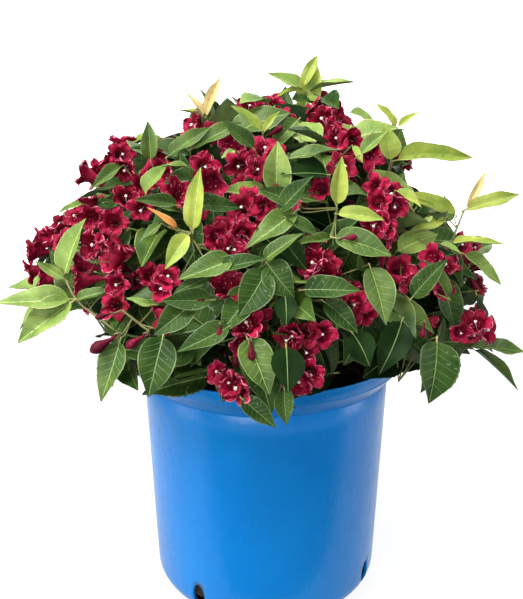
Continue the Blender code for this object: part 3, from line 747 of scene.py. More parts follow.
shoots, leaves, flowers = [], [], []
for name in MASSES:
    rng = random.Random(f"dress {name}")
    rows = shoots_of(name)
    taken = [twig_shape(row[0]) for row in rows]
    for path, radius, kind, number in rows:
        shoot_leaves, shoot_flowers = dress(name, path, kind, rng, taken)
        shoots.append((name, path, radius, kind, number))
        leaves += [(name, kind, order, matrix) for order, matrix in enumerate(shoot_leaves) if matrix]
        flowers += shoot_flowers
print("common shoots:", len(shoots), "leaves:", len(leaves), "flowers:", len(flowers))

# %% [markdown]
# ## Where the sky shows
# The crown isn't a smooth dome: the photograph shows sky between the sprays at its edge. A smoother outline
# would close those openings, so what the camera sees in one is left off. Each opening is an oval in the
# photograph's pixels: its middle and its half sizes.

# %% Openings
SKY = {
    "under the left spray": (60, 352, 37, 35), "under the left stem": (80, 329, 22, 18),
    "left of the rim": (137, 402, 15, 12), "right of the rim": (402, 400, 16, 25),
    "under the right leaf": (428, 414, 20, 13), "right edge": (507, 300, 22, 38),
    "low right edge": (478, 374, 16, 16), "upper right": (430, 178, 24, 18),
    "between the right tips": (476, 226, 28, 11), "right of the right tips": (512, 250, 14, 26),
    "beside the right tip": (418, 133, 16, 14), "upper left": (170, 117, 20, 15),
    "left of the upper left": (126, 127, 20, 9), "left shoulder": (52, 196, 20, 20),
    "left of the top": (256, 86, 14, 9), "right of the top": (368, 104, 16, 8),
    "over the rim": (357, 392, 34, 18), "front of the rim": (250, 436, 66, 24),
    "over the right tips": (462, 200, 16, 7), "beside the upper left": (78, 181, 11, 10),
}
OLD_FLOWERS = 0.86


def in_sky(corners):
    """Whether the camera sees any of these corners in an opening."""
    for local in [VIEW.inverted() @ corner for corner in corners]:
        u = IMAGE_WIDTH / 2 + FOCAL_PIXELS * (local.x / -local.z)
        v = IMAGE_HEIGHT / 2 - FOCAL_PIXELS * (local.y / -local.z)
        if any(((u - a) / wide) ** 2 + ((v - b) / high) ** 2 < 1 for a, b, wide, high in SKY.values()):
            return True
    return False


def leaf_corners(matrix):
    between = [LEFT.lerp(TIP, 0.5), RIGHT.lerp(TIP, 0.5), LEFT * 0.5, RIGHT * 0.5, TIP * 0.25, TIP * 0.5, TIP * 0.75]
    return [matrix @ corner for corner in (TIP, LEFT, RIGHT, *between)]


shoots = [shoot for shoot in shoots if shoot[3] == "leader" or not in_sky(shoot[1][1:])]
leaves = [leaf for leaf in leaves if not in_sky(leaf_corners(leaf[3]))]
flowers = [m for m in flowers if not in_sky([m @ Vector((0, 0, 0.5)), *flower_shape(m)[1]])]
flowers = [matrix @ Matrix.Scale(OLD_FLOWERS, 4) for matrix in flowers]
print("left after the openings: leaves", len(leaves), "flowers", len(flowers))

# %% [markdown]
# ## What is seen whole
# Some leaves and flowers are seen whole and give this plant its look: the broad leaves over the rim, the lime
# ones that stand up, the long one at the far left, and the trumpets that stick out at the edge. They could be
# left to chance, but here each leaf is placed by where the camera sees its foot and its tip, and each flower
# by where its mouth is and how far it leans. All lie on the crown's outline, and what hides one makes way.

# %% Leaves seen whole
# Each leaf: foot and tip in pixels, and its width.
LEAVES_SEEN = {
    "fresh": (
        (74, 299, 1, 301, 0.60), (64, 277, 83, 222, 0.80), (462, 253, 500, 280, 0.45), (305, 92, 272, 72, 0.6),
        (306, 92, 351, 79, 0.5), (439, 243, 460, 253, 0.6), (360, 155, 385, 132, 0.7), (75, 300, 20, 338, 0.80),
        (236, 150, 222, 158, 0.9), (348, 112, 374, 120, 0.6), (66, 280, 37, 262, 0.5), (84, 204, 60, 211, 0.5),
        (190, 168, 163, 165, 0.45), (152, 306, 128, 298, 0.5),
    ),
    "middle": (
        (124, 165, 93, 186, 0.55), (236, 258, 182, 277, 0.75), (166, 158, 209, 130, 0.5), (333, 238, 295, 243, 0.4),
        (331, 237, 388, 253, 0.75), (369, 264, 386, 320, 0.85), (246, 335, 268, 390, 0.95), (121, 338, 101, 397, 0.75),
        (151, 162, 147, 124, 0.7), (472, 348, 517, 386, 0.32), (262, 262, 300, 235, 0.6), (162, 223, 141, 241, 0.6),
        (300, 118, 270, 150, 0.6), (75, 300, 108, 290, 0.6), (190, 150, 240, 125, 0.5), (450, 300, 425, 262, 0.5),
        (285, 160, 338, 150, 0.5), (299, 209, 249, 247, 0.65),
    ),
    # The dark and deep leaves lie mostly at the front and in the middle: their tints are partly older leaves and partly
    # painted shade.
    "dark": (
        (164, 333, 149, 393, 1.0), (437, 337, 430, 399, 1.15), (300, 290, 356, 289, 0.8), (212, 376, 147, 392, 0.9),
        (240, 397, 273, 425, 0.8), (284, 387, 287, 422, 0.9), (300, 205, 262, 190, 0.8), (215, 300, 165, 300, 0.7),
        (410, 300, 445, 262, 0.7), (190, 205, 237, 205, 0.6), (255, 150, 225, 122, 0.6), (232, 325, 181, 349, 0.7),
        (268, 268, 240, 313, 1.05), (210, 272, 262, 258, 0.6), (266, 262, 293, 294, 1.2), (277, 214, 311, 178, 0.7),
        (214, 274, 176, 291, 0.6), (196, 300, 156, 332, 0.9), (283, 216, 319, 237, 0.5), (180, 206, 138, 198, 0.5),
        (322, 300, 356, 330, 0.8),
    ),
    "deep": (
        (283, 240, 306, 267, 0.9), (286, 344, 288, 390, 1.15), (262, 236, 290, 262, 0.9), (351, 331, 369, 364, 1.25),
        (403, 318, 381, 371, 0.85), (285, 294, 286, 324, 1.2), (330, 175, 285, 172, 1.0),
    ),
    "lime": (
        (335, 214, 381, 218, 0.55), (337, 207, 342, 160, 0.60), (393, 161, 467, 153, 0.38), (391, 162, 386, 126, 0.95),
        (193, 233, 199, 172, 0.56), (190, 233, 166, 265, 0.75), (448, 211, 410, 193, 0.5), (303, 88, 317, 57, 0.6),
        (300, 90, 278, 95, 0.5), (262, 132, 234, 106, 0.45), (263, 134, 278, 112, 0.5), (395, 190, 420, 205, 0.65),
        (447, 217, 409, 233, 0.55), (457, 216, 415, 198, 0.45), (352, 145, 362, 162, 0.6), (464, 211, 517, 196, 0.46),
        (449, 243, 502, 242, 0.36), (397, 128, 378, 105, 0.48), (397, 128, 417, 113, 0.48), (203, 117, 181, 109, 0.4),
    ),
    "bronze": (
        (206, 118, 219, 79, 0.45), (204, 118, 187, 92, 0.40), (466, 210, 485, 173, 0.32), (468, 208, 506, 203, 0.22),
    ),
    "orange": ((179, 229, 149, 208, 0.34), (176, 231, 160, 215, 0.3)),
}
SEEN_STEMS = (
    ((182, 346), (150, 339), (120, 334), (96, 316), (76, 301), (66, 280)),
    ((172, 350), (150, 332), (122, 310)), ((298, 130), (302, 110), (305, 92)),
    ((430, 284), (444, 256), (456, 231), (464, 210)), ((400, 160), (399, 142), (397, 128)),
    ((332, 245), (334, 228), (337, 208)), ((199, 256), (194, 244), (192, 232)), ((208, 140), (205, 117)),
)
STEM_FOOT_DEPTH, FOOT_DEPTH, TIP_NEARER, SEEN_LONGER, SEEN_WIDER = 0.060, 0.016, 0.22, 1.06, 1.12
SHARES_SHOWN = (0.15, 0.35, 0.55, 0.75, 0.95)


def towards(u, v):
    """The direction of a pixel as the camera sees it."""
    return Vector((u - IMAGE_WIDTH / 2, IMAGE_HEIGHT / 2 - v, -FOCAL_PIXELS))


def on_crown(u, v, depth):
    """The point that the camera sees at a pixel, where its ray comes this deep inside the crown's outline."""
    ray = (VIEW.to_3x3() @ towards(u, v)).normalized()
    middle = ray.dot(CENTRE - EYE)
    off = (CENTRE - EYE).length_squared - middle * middle
    place = EYE + ray * middle
    for _ in range(3):
        radius = fringe((place - CENTRE).normalized()) - depth
        place = EYE + ray * (middle - sqrt(max(0.0, radius * radius - off)))
    return place


def foot_and_tip(foot_u, foot_v, tip_u, tip_v, depth, nearer):
    """A foot this deep in the crown, and a tip that comes nearer to the camera by a share of its run."""
    foot = on_crown(foot_u, foot_v, depth)
    distance = -(VIEW.inverted() @ foot).z
    run = hypot(tip_u - foot_u, tip_v - foot_v) * distance / FOCAL_PIXELS
    return foot, VIEW @ (towards(tip_u, tip_v) / FOCAL_PIXELS * (distance - run * nearer))


def leaf_seen(foot_u, foot_v, tip_u, tip_v, width):
    """The matrix of a leaf seen from foot to tip at these pixels."""
    foot, tip = foot_and_tip(foot_u, foot_v, tip_u, tip_v, FOOT_DEPTH, TIP_NEARER)
    reach = tip - foot
    facing = (foot - CENTRE).normalized() * 0.5 + UP * 0.45 + (EYE - foot).normalized() * 0.6
    across = facing.cross(reach).normalized()
    away = (Quaternion(across, -atan(LEAF_DROOP)) @ reach).normalized()
    matrix = leaf_matrix(foot, away, facing, reach.length / hypot(1, LEAF_DROOP))
    return matrix @ Matrix.Diagonal((SEEN_LONGER, width * SEEN_WIDER, SEEN_LONGER, 1))


print("leaves seen whole:", {tint: len(rows) for tint, rows in LEAVES_SEEN.items()})


# %% Flowers and buds seen whole
# Each flower: its mouth in pixels, and how far its axis leans right and down.
FLOWERS_SEEN = (
    (122, 139, 0, -18), (135, 142, 2, -18), (106, 153, -8, -8), (123, 154, 2, -4), (82, 173, -16, -12),
    (98, 165, -6, -14), (163, 152, 10, -14), (123, 173, -6, 4), (141, 185, -2, 10), (161, 176, -20, -2),
    (174, 192, 0, 4), (88, 192, -4, -18), (126, 196, 0, 0), (140, 212, 2, 2), (72, 214, -12, -6),
    (90, 218, 0, 0), (113, 222, 0, 0), (57, 223, -14, -6), (45, 236, -10, -12), (51, 229, -4, -16),
    (37, 242, -14, -6), (28, 252, -14, -4), (92, 245, -10, -4), (120, 246, 6, -18), (112, 258, -8, -12),
    (72, 264, -20, -4), (75, 281, -20, 4), (24, 274, -18, 0), (38, 278, -16, -6), (114, 286, 0, 0),
    (150, 274, -4, -4), (168, 275, 4, -4), (160, 289, 0, 4), (113, 306, -8, -4), (164, 322, -6, -8),
    (192, 125, -16, -2), (225, 111, -8, -8), (213, 132, 0, 2), (250, 105, -4, -10), (262, 107, 0, -8),
    (272, 104, 2, -6), (282, 112, 6, -4), (233, 143, -4, 0), (206, 167, 0, 0), (196, 162, -8, -4),
    (211, 185, 0, 4), (238, 167, -2, 0), (260, 168, 2, 2), (265, 148, -2, -6), (273, 152, 4, -4),
    (246, 195, -2, -8), (241, 207, -6, 0), (262, 209, 0, 4), (279, 201, 10, -4), (290, 197, 14, -6),
    (322, 101, 0, -12), (322, 119, -2, 0), (345, 118, 8, -8), (336, 138, -8, -4), (349, 144, -2, 0),
    (362, 140, 0, -14), (375, 143, 8, -10), (372, 155, 8, 0), (318, 187, -8, -8), (375, 187, -4, -2),
    (377, 201, -4, 6), (391, 194, 4, -4), (407, 199, 8, 0), (395, 208, 4, 6), (372, 228, -12, 6),
    (398, 234, 12, 8), (384, 226, 0, 8), (217, 238, -6, 0), (236, 249, 0, 4), (243, 236, 2, -2),
    (222, 221, -4, -8), (233, 220, 2, -10), (254, 229, 12, -8), (227, 250, -4, 6), (229, 284, 0, -8),
    (311, 262, -8, -4), (325, 262, 4, -8), (322, 276, 2, 6), (332, 270, 8, 0), (290, 337, -6, -4),
    (282, 344, -10, 2), (306, 331, 0, -6), (323, 335, 8, -4), (308, 355, 0, 0), (321, 352, 8, 2),
    (311, 376, -2, 4), (332, 375, 8, 2), (299, 385, -8, 6), (354, 289, -4, 0), (367, 298, 4, 0),
    (354, 305, -4, 6), (365, 314, 4, 8), (427, 256, -8, -4), (447, 262, 8, -6), (440, 276, 0, 4),
    (448, 291, 8, 8), (462, 335, -8, 4), (475, 320, 0, -6), (488, 330, 12, -2), (478, 338, 2, 6),
    (236, 388, -4, 8), (228, 383, -8, 4), (215, 354, -8, 4), (246, 322, 0, -8), (262, 318, 8, -2),
    (245, 350, 0, 10), (222, 334, -6, 0), (60, 240, -8, -6), (108, 240, 4, -4), (182, 193, 6, -4),
)
BUDS_SEEN = (
    (120, 334, 90, 352), (113, 313, 95, 318), (148, 333, 126, 348), (220, 322, 219, 339), (250, 338, 252, 361),
    (338, 239, 357, 237), (425, 320, 422, 338), (214, 341, 223, 358), (176, 294, 208, 304), (97, 262, 88, 276),
)
SEEN_LENGTH, SEEN_DEPTH, SEEN_SWAY, LEAN_GAIN, SIDE_VIEW = 0.0232, 0.018, 13, 1.7, 0.50
BUD_DEPTH, BUD_NEARER, BUD_GIRTH, SEEN_SLIM, BUD_SLIM = 0.012, 0.1, 1.3, 0.6, 0.4


def flower_seen(u, v, lean_u, lean_v):
    """The matrix of a flower whose mouth is seen at (u, v) and whose axis leans by these pixels."""
    mouth = on_crown(u, v, SEEN_DEPTH)
    scale = (mouth - EYE).length / FOCAL_PIXELS / SEEN_LENGTH
    rng = random.Random(f"flower {u} {v}")
    across = (lean_u * LEAN_GAIN + rng.uniform(-SEEN_SWAY, SEEN_SWAY)) * scale
    up = -(lean_v * LEAN_GAIN + rng.uniform(-SEEN_SWAY, SEEN_SWAY)) * scale
    lean = hypot(across, up)
    away = (VIEW.to_3x3() @ Vector((across, up, sqrt(max(0.04, 1 - lean * lean))))).normalized()
    return flower_matrix(mouth - away * SEEN_LENGTH, away, SEEN_LENGTH), lean > SIDE_VIEW


def bud_seen(*pixels):
    """The matrix of an unopened bud seen from foot to tip at these pixels."""
    foot, tip = foot_and_tip(*pixels, BUD_DEPTH, BUD_NEARER)
    bud = flower_matrix(foot, (tip - foot).normalized(), (tip - foot).length)
    return bud @ Matrix.Diagonal((BUD_GIRTH, BUD_GIRTH, 1, 1))


def hides(shape, points):
    """Whether a shape stands between the camera and any of these points."""
    tree, middle, reach = shape
    for ray in [point - EYE for point in points]:
        if (middle - EYE).cross(ray.normalized()).length < reach:
            if tree.ray_cast(EYE, ray.normalized(), ray.length - 0.001)[0]:
                return True
    return False


standing = [(leaf_seen(*row), tint) for tint, rows in LEAVES_SEEN.items() for row in rows]
blossoms_seen, from_side = (list(column) for column in zip(*[flower_seen(*row) for row in FLOWERS_SEEN]))
buds_seen = [bud_seen(*row) for row in BUDS_SEEN]
seen_shapes = [blade_shape(matrix) for matrix, _ in standing]
seen_shapes += [flower_shape(matrix, SEEN_SLIM)[0] for matrix in blossoms_seen]
seen_shapes += [flower_shape(matrix, BUD_SLIM)[0] for matrix in buds_seen]
shown_points = [matrix @ (TIP * share) for matrix, _ in standing for share in SHARES_SHOWN]
shown_points += [matrix @ Vector((0, 0, 0.98)) for matrix in blossoms_seen[1::2]]
shown_points += [matrix @ Vector((0, 0, share)) for matrix in buds_seen for share in (0.5, 0.9)]
print("flowers seen whole:", len(blossoms_seen), "buds:", len(buds_seen))

# %% Bunches on the far sides
FAR_BUNCHES, FAR_SIDE, FAR_FLOWERS, FAR_SPREAD = 62, 0.0, (3, 5), 0.0125


def makes_way(shape):
    return crosses(shape, seen_shapes) or hides(shape, shown_points)


def far_bunch(number):
    """The trumpets of one bunch on the sides that this camera doesn't see, which flower as richly."""
    rng = random.Random(f"far bunch {number}")
    heading = on_ball(0.95 - 0.93 * (number + 0.5) / FAR_BUNCHES, GOLDEN_ANGLE * number)
    if heading.y < FAR_SIDE:
        return []
    centre, found = CENTRE + heading * (fringe(heading) - SEEN_DEPTH), []
    for step in range(rng.randint(*FAR_FLOWERS)):
        off = beside(heading, GOLDEN_ANGLE * step + number)
        away = (heading + off * rng.uniform(0.15, 0.85) + UP * 0.1).normalized()
        mouth = centre + off * FAR_SPREAD * rng.uniform(0.5, 1.1)
        matrix = flower_matrix(mouth - away * SEEN_LENGTH, away, SEEN_LENGTH)
        shape, rim = flower_shape(matrix, SEEN_SLIM)
        if clear_between(rim, INNER_LIMIT) and not makes_way(shape) and not in_sky(rim):
            seen_shapes.append(shape)
            found.append(matrix)
    return found


far_flowers = [matrix for number in range(FAR_BUNCHES) for matrix in far_bunch(number)]
blossoms_seen += far_flowers
from_side += [False] * len(far_flowers)
leaves = [leaf for leaf in leaves if not makes_way(blade_shape(leaf[3]))]
flowers = [matrix for matrix in flowers if not makes_way(flower_shape(matrix)[0])]
taken_everywhere = [twig_shape(shoot[1]) for shoot in shoots] + seen_shapes
taken_everywhere += [blade_shape(leaf[3]) for leaf in leaves]
taken_everywhere += [flower_shape(matrix)[0] for matrix in flowers]
print("seen whole:", len(standing), "leaves and", len(blossoms_seen), "flowers,", len(far_flowers), "on the far sides")

# %% [markdown]
# ## Finer twigs
# The solids have as few leaves as the crown's outline needs. A real crown is far fuller: short twigs grow
# between the side shoots, and an inner layer of leaves, darker partly by age and partly as painted shade deep
# in the crown, closes the view to the boughs. These grow by the same pairs and tests, but may cross the borders
# between masses, as real neighbours do. What is tried is dropped where it would cross a leaf, a flower or a bough.

# %% Finer growth
# Each finer twig: its share of the shoot, its length and the size of its leaves.
FINE_TWIGS = ((0.42, 0.024, 0.72), (0.72, 0.030, 0.80), (0.98, 0.026, 0.74))
INNER_SHOOTS, INNER_REACH, INNER_SIZE = 260, (0.112, 0.150), 0.92
FILL_SHOOTS, FILL_REACH, FILL_SIZE = 190, (0.140, 0.166), 0.84
FINE_INNER_LIMIT, FINE_RADIUS, LONG_GIRTH, HOLD_GIRTH = 0.060, 0.0008, 1.25, 0.7
STEM_NEAR, HOLD_BEND, JOINTS_APART = 0.030, 0.018, 6
TWIG_PAIRS, SPREAD_PAIRS = ((0.55, 62), (0.95, 42)), ((0.55, 66), (0.93, 54))


def anywhere(name, corners):
    """Whether a shape keeps inside the crown's outline and clear of the pot, in any mass's wedge."""
    for arm in [corner - CENTRE for corner in corners]:
        if not FINE_INNER_LIMIT < arm.length < fringe(arm.normalized()):
            return False
    return clear_between(corners, FINE_INNER_LIMIT) and not in_sky(corners)


def grown_pairs(name, path, pairs, size, rng):
    """The leaves that fit on a finer twig and hide none of those that stand out."""
    turn, found = rng.uniform(0, pi), []
    for number, (share, spread) in enumerate(pairs):
        for leaf in leaf_pair(path, share, turn + number * pi / 2, spread, size, rng):
            matrix = fitted_leaf(name, leaf, taken_everywhere, anywhere)
            if matrix and (in_sky(leaf_corners(matrix)) or hides(blade_shape(matrix), shown_points)):
                taken_everywhere.pop()
            elif matrix:
                found.append(matrix)
    return found


def twig_from(path, share, length, rng):
    """A short twig that leaves a shoot at a share of its length, sideways and up."""
    foot, axis = along(path, share)
    away = (axis * 0.7 + any_side(axis, rng) * 0.9 + UP * 0.25).normalized()
    end = foot + away * length * rng.uniform(0.8, 1.2)
    return bezier(foot, foot.lerp(end, 0.3) + axis * 0.002, foot.lerp(end, 0.7) + UP * 0.002, end, 4)


def rounded(points):
    """A path with its corners cut twice, so that it bends softly. Its ends stay."""
    for _ in range(2):
        cut = [first.lerp(second, share) for first, second in zip(points, points[1:]) for share in (0.25, 0.75)]
        points = [points[0], *cut, points[-1]]
    return points


def spread_shoots(count, seed, reach, size, kind):
    """Shoots from the stems to headings spread evenly over the crown, with two pairs of leaves each."""
    rng = random.Random(seed)
    for number in range(count):
        height = 1 - (number + 0.5) / count * (1 - LOWEST_SHOOT * 1.6)
        heading = on_ball(height, GOLDEN_ANGLE * number + rng.uniform(0, 0.5))
        name = nearest_mass(heading)
        foot = stems[name][0].lerp(stems[name][-1], rng.uniform(0.0, 0.45))
        end = CENTRE + heading * min(rng.uniform(*reach), fringe(heading) - 0.03)
        path = bezier(foot, foot.lerp(end, 0.3), foot.lerp(end, 0.7) + UP * 0.004, end, 4)
        found = grown_pairs(name, path, SPREAD_PAIRS, size, rng)
        if found and not in_sky(path[1:]):
            fine_twigs.append((path, FINE_RADIUS * LONG_GIRTH))
        leaves.extend((name, kind, 0, matrix) for matrix in found)


print("shoots to try besides the finer twigs:", INNER_SHOOTS + FILL_SHOOTS)

# %% Grow the finer twigs
taken_everywhere += [twig_shape(bough_path(name, 7)) for name in MASSES]
stems = {name: path for name, path, _, kind, _ in shoots if kind == "leader"}
joints = [p[0].lerp(p[-1], step / JOINTS_APART) for p in stems.values() for step in range(JOINTS_APART + 1)]
fine_twigs, whole_twigs = [], []
for rows in SEEN_STEMS:
    to_go = [1 - number / (len(rows) - 1) for number in range(len(rows))]
    depths = [FOOT_DEPTH + (STEM_FOOT_DEPTH - FOOT_DEPTH) * share * share for share in to_go]
    stem = rounded([on_crown(*row, depth) for row, depth in zip(rows, depths)])
    whole_twigs.append((stem, FINE_RADIUS * LONG_GIRTH))
for name, path, _, kind, number in shoots:
    rng = random.Random(f"fine twigs {name} {number}")
    for share, length, size in FINE_TWIGS[:2] if kind == "flowering" else FINE_TWIGS:
        twig = twig_from(path, share, length, rng)
        found = grown_pairs(name, twig, TWIG_PAIRS, size, rng)
        if found:
            fine_twigs.append((twig, FINE_RADIUS))
            leaves.extend((name, "fine", 0, matrix) for matrix in found)

# What is seen whole hangs on the nearest seen stem, or else on the nearest joint that lies deeper.
stem_places = [place for stem, _ in whole_twigs for place in stem]
for foot in [matrix.translation for matrix in [leaf[0] for leaf in standing] + blossoms_seen + buds_seen]:
    start = min(stem_places, key=lambda place: (place - foot).length)
    outward = (foot - CENTRE).normalized()
    if (start - foot).length > STEM_NEAR:
        deep = [joint for joint in joints if (joint - CENTRE).dot(outward) < (foot - CENTRE).length - 0.02]
        start = min(deep or joints, key=lambda joint: (joint - foot).length)
    bend = min(HOLD_BEND, (start - foot).length * 0.4)
    held = bezier(start, start.lerp(foot, 0.35), foot - outward * bend, foot, 5)
    whole_twigs.append((held, FINE_RADIUS * HOLD_GIRTH))
spread_shoots(FILL_SHOOTS, "fill shoots", FILL_REACH, FILL_SIZE, "fill")
spread_shoots(INNER_SHOOTS, "inner shoots", INNER_REACH, INNER_SIZE, "inner")
print("fine twigs:", len(fine_twigs), "leaves in all:", len(leaves))

# %% [markdown]
# ## Flower clusters
# Weigela flowers sit in loose bunches of three to six open trumpets at the ends of short side shoots, with
# dark unopened buds among them. The first two of each bunch are the ones that the solids have. The rest could
# be placed by hand, but they lean out at golden-angle turns, where there is room.

# %% Fill the clusters
NAMED_CLUSTER, OTHER_CLUSTER, FRONT_SIDE = 2, 5, -0.15
FLOWER_SHARE, PRESSED, BUDS_IN_CLUSTER, BUD_LENGTH = 0.84, 0.62, 3, (0.012, 0.018)
CLUSTER_LEANS = (8, 38, 44, 50, 34, 56, 62, 26)


def take_room(name, matrix, slim, found, shown=()):
    """Adds a trumpet or a bud to those found where there is room for it."""
    shape, rim = flower_shape(matrix, slim)
    if anywhere(name, rim) and not crosses(shape, taken_everywhere) and not hides(shape, shown):
        taken_everywhere.append(shape)
        found.append(matrix)


def more_trumpets(name, path, count, rng):
    """Further trumpets of a cluster, whose lobes may press on each other."""
    end, axis = along(path, 1)
    found = []
    for number, lean in enumerate(CLUSTER_LEANS * 2):
        if len(found) >= count:
            break
        side = beside(axis, GOLDEN_ANGLE * number * 1.7 + rng.uniform(-0.3, 0.3))
        angle = radians(lean + rng.uniform(-5, 5))
        away = (axis * cos(angle) + side * sin(angle) + UP * 0.08).normalized()
        length = FLOWER_LENGTH * FLOWER_SHARE * rng.uniform(0.84, 1.04)
        foot = end - axis * rng.uniform(0.001, 0.006)
        take_room(name, flower_matrix(foot, away, length), PRESSED, found, shown_points)
    return found


buds = []
for name, path, _, kind, number in [shoot for shoot in shoots if shoot[3] == "flowering"]:
    rng = random.Random(f"cluster {name} {number}")
    end, axis = along(path, 1)
    wanted = NAMED_CLUSTER if (end - CENTRE).normalized().y < FRONT_SIDE else OTHER_CLUSTER
    flowers += more_trumpets(name, path, wanted - FLOWERS_IN_CLUSTER, rng)
    for _ in range(BUDS_IN_CLUSTER):
        side = any_side(axis, rng)
        away = (axis * rng.uniform(0.2, 0.9) + side).normalized()
        foot = along(path, rng.uniform(0.86, 0.99))[0]
        take_room(name, flower_matrix(foot, away, rng.uniform(*BUD_LENGTH)), BUD_SLIM, buds)
print("flowers:", len(flowers), "buds:", len(buds))

# %% [markdown]
# ## Leaves
# A weigela leaf is a pointed oval with small forward teeth. It is folded a little along a pale midrib, arches
# down to its tip, and bulges between its side veins. It could be sculpted, but a grid shaped by a few formulas
# keeps the corners of the solids' folded blade. Variants with other arches, waves and twists keep the leaves
# from looking stamped.

# %% Unit leaf
STALK, LEAF_ROWS, LEAF_COLUMNS, DEEP_ROWS, DEEP_COLUMNS = 0.07, 22, 7, 14, 5
TOOTH, FULLNESS, POINT, QUILT = 0.045, 0.78, 0.32, 0.014
VEIN_PAIRS, LEAF_VARIANTS, UNDER_LIFT = 6, 8, -0.006


def outline_share(x):
    """The half width of the blade at x, as a share of its greatest half width."""
    u = np.clip((x - STALK) / (1 - STALK), 0, 1)
    widest = (LEAF_WIDEST - STALK) / (1 - STALK)
    full = np.sin(pi * u ** (log(0.5) / log(widest))) ** FULLNESS
    return full * (1 - POINT * np.clip((u - 0.70) / 0.30, 0, 1)) + 0.004


def leaf_variant(number):
    """How one variant droops, folds, waves, twists and bows."""
    rng = random.Random(f"leaf variant {number}")
    droop, fold = LEAF_DROOP * rng.uniform(0.7, 2.0), (LEAF_LIFT + LEAF_KEEL) * rng.uniform(0.9, 1.9)
    return droop, fold, rng.uniform(0.018, 0.045), rng.uniform(0, tau), rng.uniform(-0.5, 0.5), rng.uniform(-0.05, 0.05)


def on_blade(x, t, variant, lift=0.0):
    """Points of the blade: x runs along it from 0 to 1, and t across it from -1 to 1."""
    droop, fold, wave, phase, twist, bow = variant
    share = outline_share(x)
    y = t * (LEAF_WIDTH / 2 * share)
    height = fold * share * (1.3 * np.abs(t) - 0.3 * t**2)
    height += wave * np.sin(9.0 * x + phase + 2.2 * (t > 0)) * t**2 * share
    bulge = np.abs(np.sin(pi * VEIN_PAIRS * (x - 0.45 * np.abs(y))))
    height += QUILT * share * bulge * np.clip(4 * np.abs(t) * (1.2 - np.abs(t)), 0, 1)
    height += lift
    c, s = np.cos(twist * x), np.sin(twist * x)
    side, middle = bow * np.sin(pi * x), -droop * x**1.55
    return np.stack([x, side + y * c - height * s, middle + y * s + height * c], axis=-1)


def unit_blade(variant, lift=0.0, rows=LEAF_ROWS, columns=LEAF_COLUMNS):
    """A blade as (points, faces), with teeth that point forward."""
    row, column = np.meshgrid(np.arange(rows + 1), np.arange(columns), indexing="ij")
    x = STALK * 0.8 + (1 - STALK * 0.8) * (row / rows) ** 0.95
    t = np.linspace(-1, 1, columns)[column]
    toothed = (np.abs(t) > 0.99) & (row % 2 == 1)
    t = np.where(toothed, t * (1 + TOOTH), t)
    x = np.where(toothed, np.minimum(x + 0.014, 1.0), x)
    return on_blade(x, t, variant, lift).reshape(-1, 3), grid_faces(rows + 1, columns)


VARIANTS = [leaf_variant(number) for number in range(LEAF_VARIANTS)]
BLADES = [unit_blade(variant) for variant in VARIANTS]
DEEP_BLADES = [unit_blade(variant, rows=DEEP_ROWS, columns=DEEP_COLUMNS) for variant in VARIANTS]
UNDERSIDES = [(unit_blade(variant, UNDER_LIFT)[0], BLADES[0][1][:, ::-1]) for variant in VARIANTS]
print("faces of a blade:", len(BLADES[0][1]), "points:", len(BLADES[0][0]))

# %% [markdown]
# The midrib and the side veins are what makes these leaves read as leaves from a step away. A painted pattern
# would blur, but thin pale ribbons a hair above the blade hold their place on a joined mesh and stay sharp.

# %% Unit midrib, veins and stalk
MIDRIB_WIDTH, VEIN_WIDTH, VEIN_LIFT = 0.026, 0.0085, 0.0045


def ribbon(x, t, widths, variant):
    """A ribbon on the blade along a line of (x, t), as (points, faces)."""
    middle = on_blade(x, t, variant, VEIN_LIFT)
    side = np.cross(np.gradient(middle, axis=0), [0, 0, 1.0])
    side /= np.linalg.norm(side, axis=1)[:, None] + 1e-9
    half = side * np.asarray(widths)[:, None] / 2
    return strip(middle - half, middle + half)


def unit_veins(variant):
    """Side veins that leave the midrib forward and curve along the edge, and the pale edge itself."""
    parts, s = [], np.linspace(0, 1, 5)
    for number in range(VEIN_PAIRS):
        for side in (-1, 1):
            x = 0.12 + 0.115 * number + (0.19 - 0.012 * number) * s**0.9 + 0.012 * (side > 0)
            parts.append(ribbon(x, side * 0.90 * s**1.15, VEIN_WIDTH * (1 - 0.6 * s), variant))
    x = np.linspace(STALK, 1, 15)
    for side in (-1, 1):
        parts.append(strip(*(on_blade(x, side * t + 0 * x, variant, VEIN_LIFT * 0.6) for t in (0.94, 1.01))))
    return joined(parts)


along_rib = np.linspace(0, 0.97, 12)
MIDRIBS = [ribbon(along_rib, 0 * along_rib, MIDRIB_WIDTH * (1 - 0.8 * along_rib), variant) for variant in VARIANTS]
VEINS = [unit_veins(variant) for variant in VARIANTS]
stalk_path = [Vector((-0.02, 0, 0)), Vector((0.03, 0, 0.001)), Vector((0.10, 0, -0.006))]
LEAF_STALK = tube(stalk_path, (0.017, 0.014, 0.011), 5)
print("faces of a midrib:", len(MIDRIBS[0][1]), "of the side veins:", len(VEINS[0][1]))

# %% [markdown]
# ## Leaf tints, dealt out by spray
# Inner leaves are dark, partly because they are older and partly as painted shade deep in the crown, where the
# deep tint is near black. The stems at the front keep dark tints, as painted shade on that side. Most outer ones
# are a middle green, and the growing tips are lime, some flushed with bronze; high up, fresh leaves come more
# often, partly as young growth and partly as painted light on the top. A tint has a place on the plant, so each
# is a plain colour of its own and is dealt out by the kind of shoot, by the mass, and by a seeded draw. One
# colour ramp over all would scatter them.

# %% Deal the tints
LEAF_TINTS = {
    # The deep tint is near black: painted shade for leaves deep in the crown, which are also older.
    "deep": ((0.004, 0.014, 0.003), (0.011, 0.031, 0.006)),
    "dark": ((0.014, 0.040, 0.007), (0.038, 0.080, 0.013)),
    "middle": ((0.034, 0.078, 0.010), (0.090, 0.155, 0.022)),
    "fresh": ((0.105, 0.190, 0.032), (0.225, 0.325, 0.066)),
    "lime": ((0.200, 0.290, 0.036), (0.400, 0.450, 0.070)),
    "bronze": ((0.520, 0.370, 0.130), (0.760, 0.580, 0.270)),
    "orange": ((0.380, 0.110, 0.028), (0.620, 0.250, 0.060)),
}
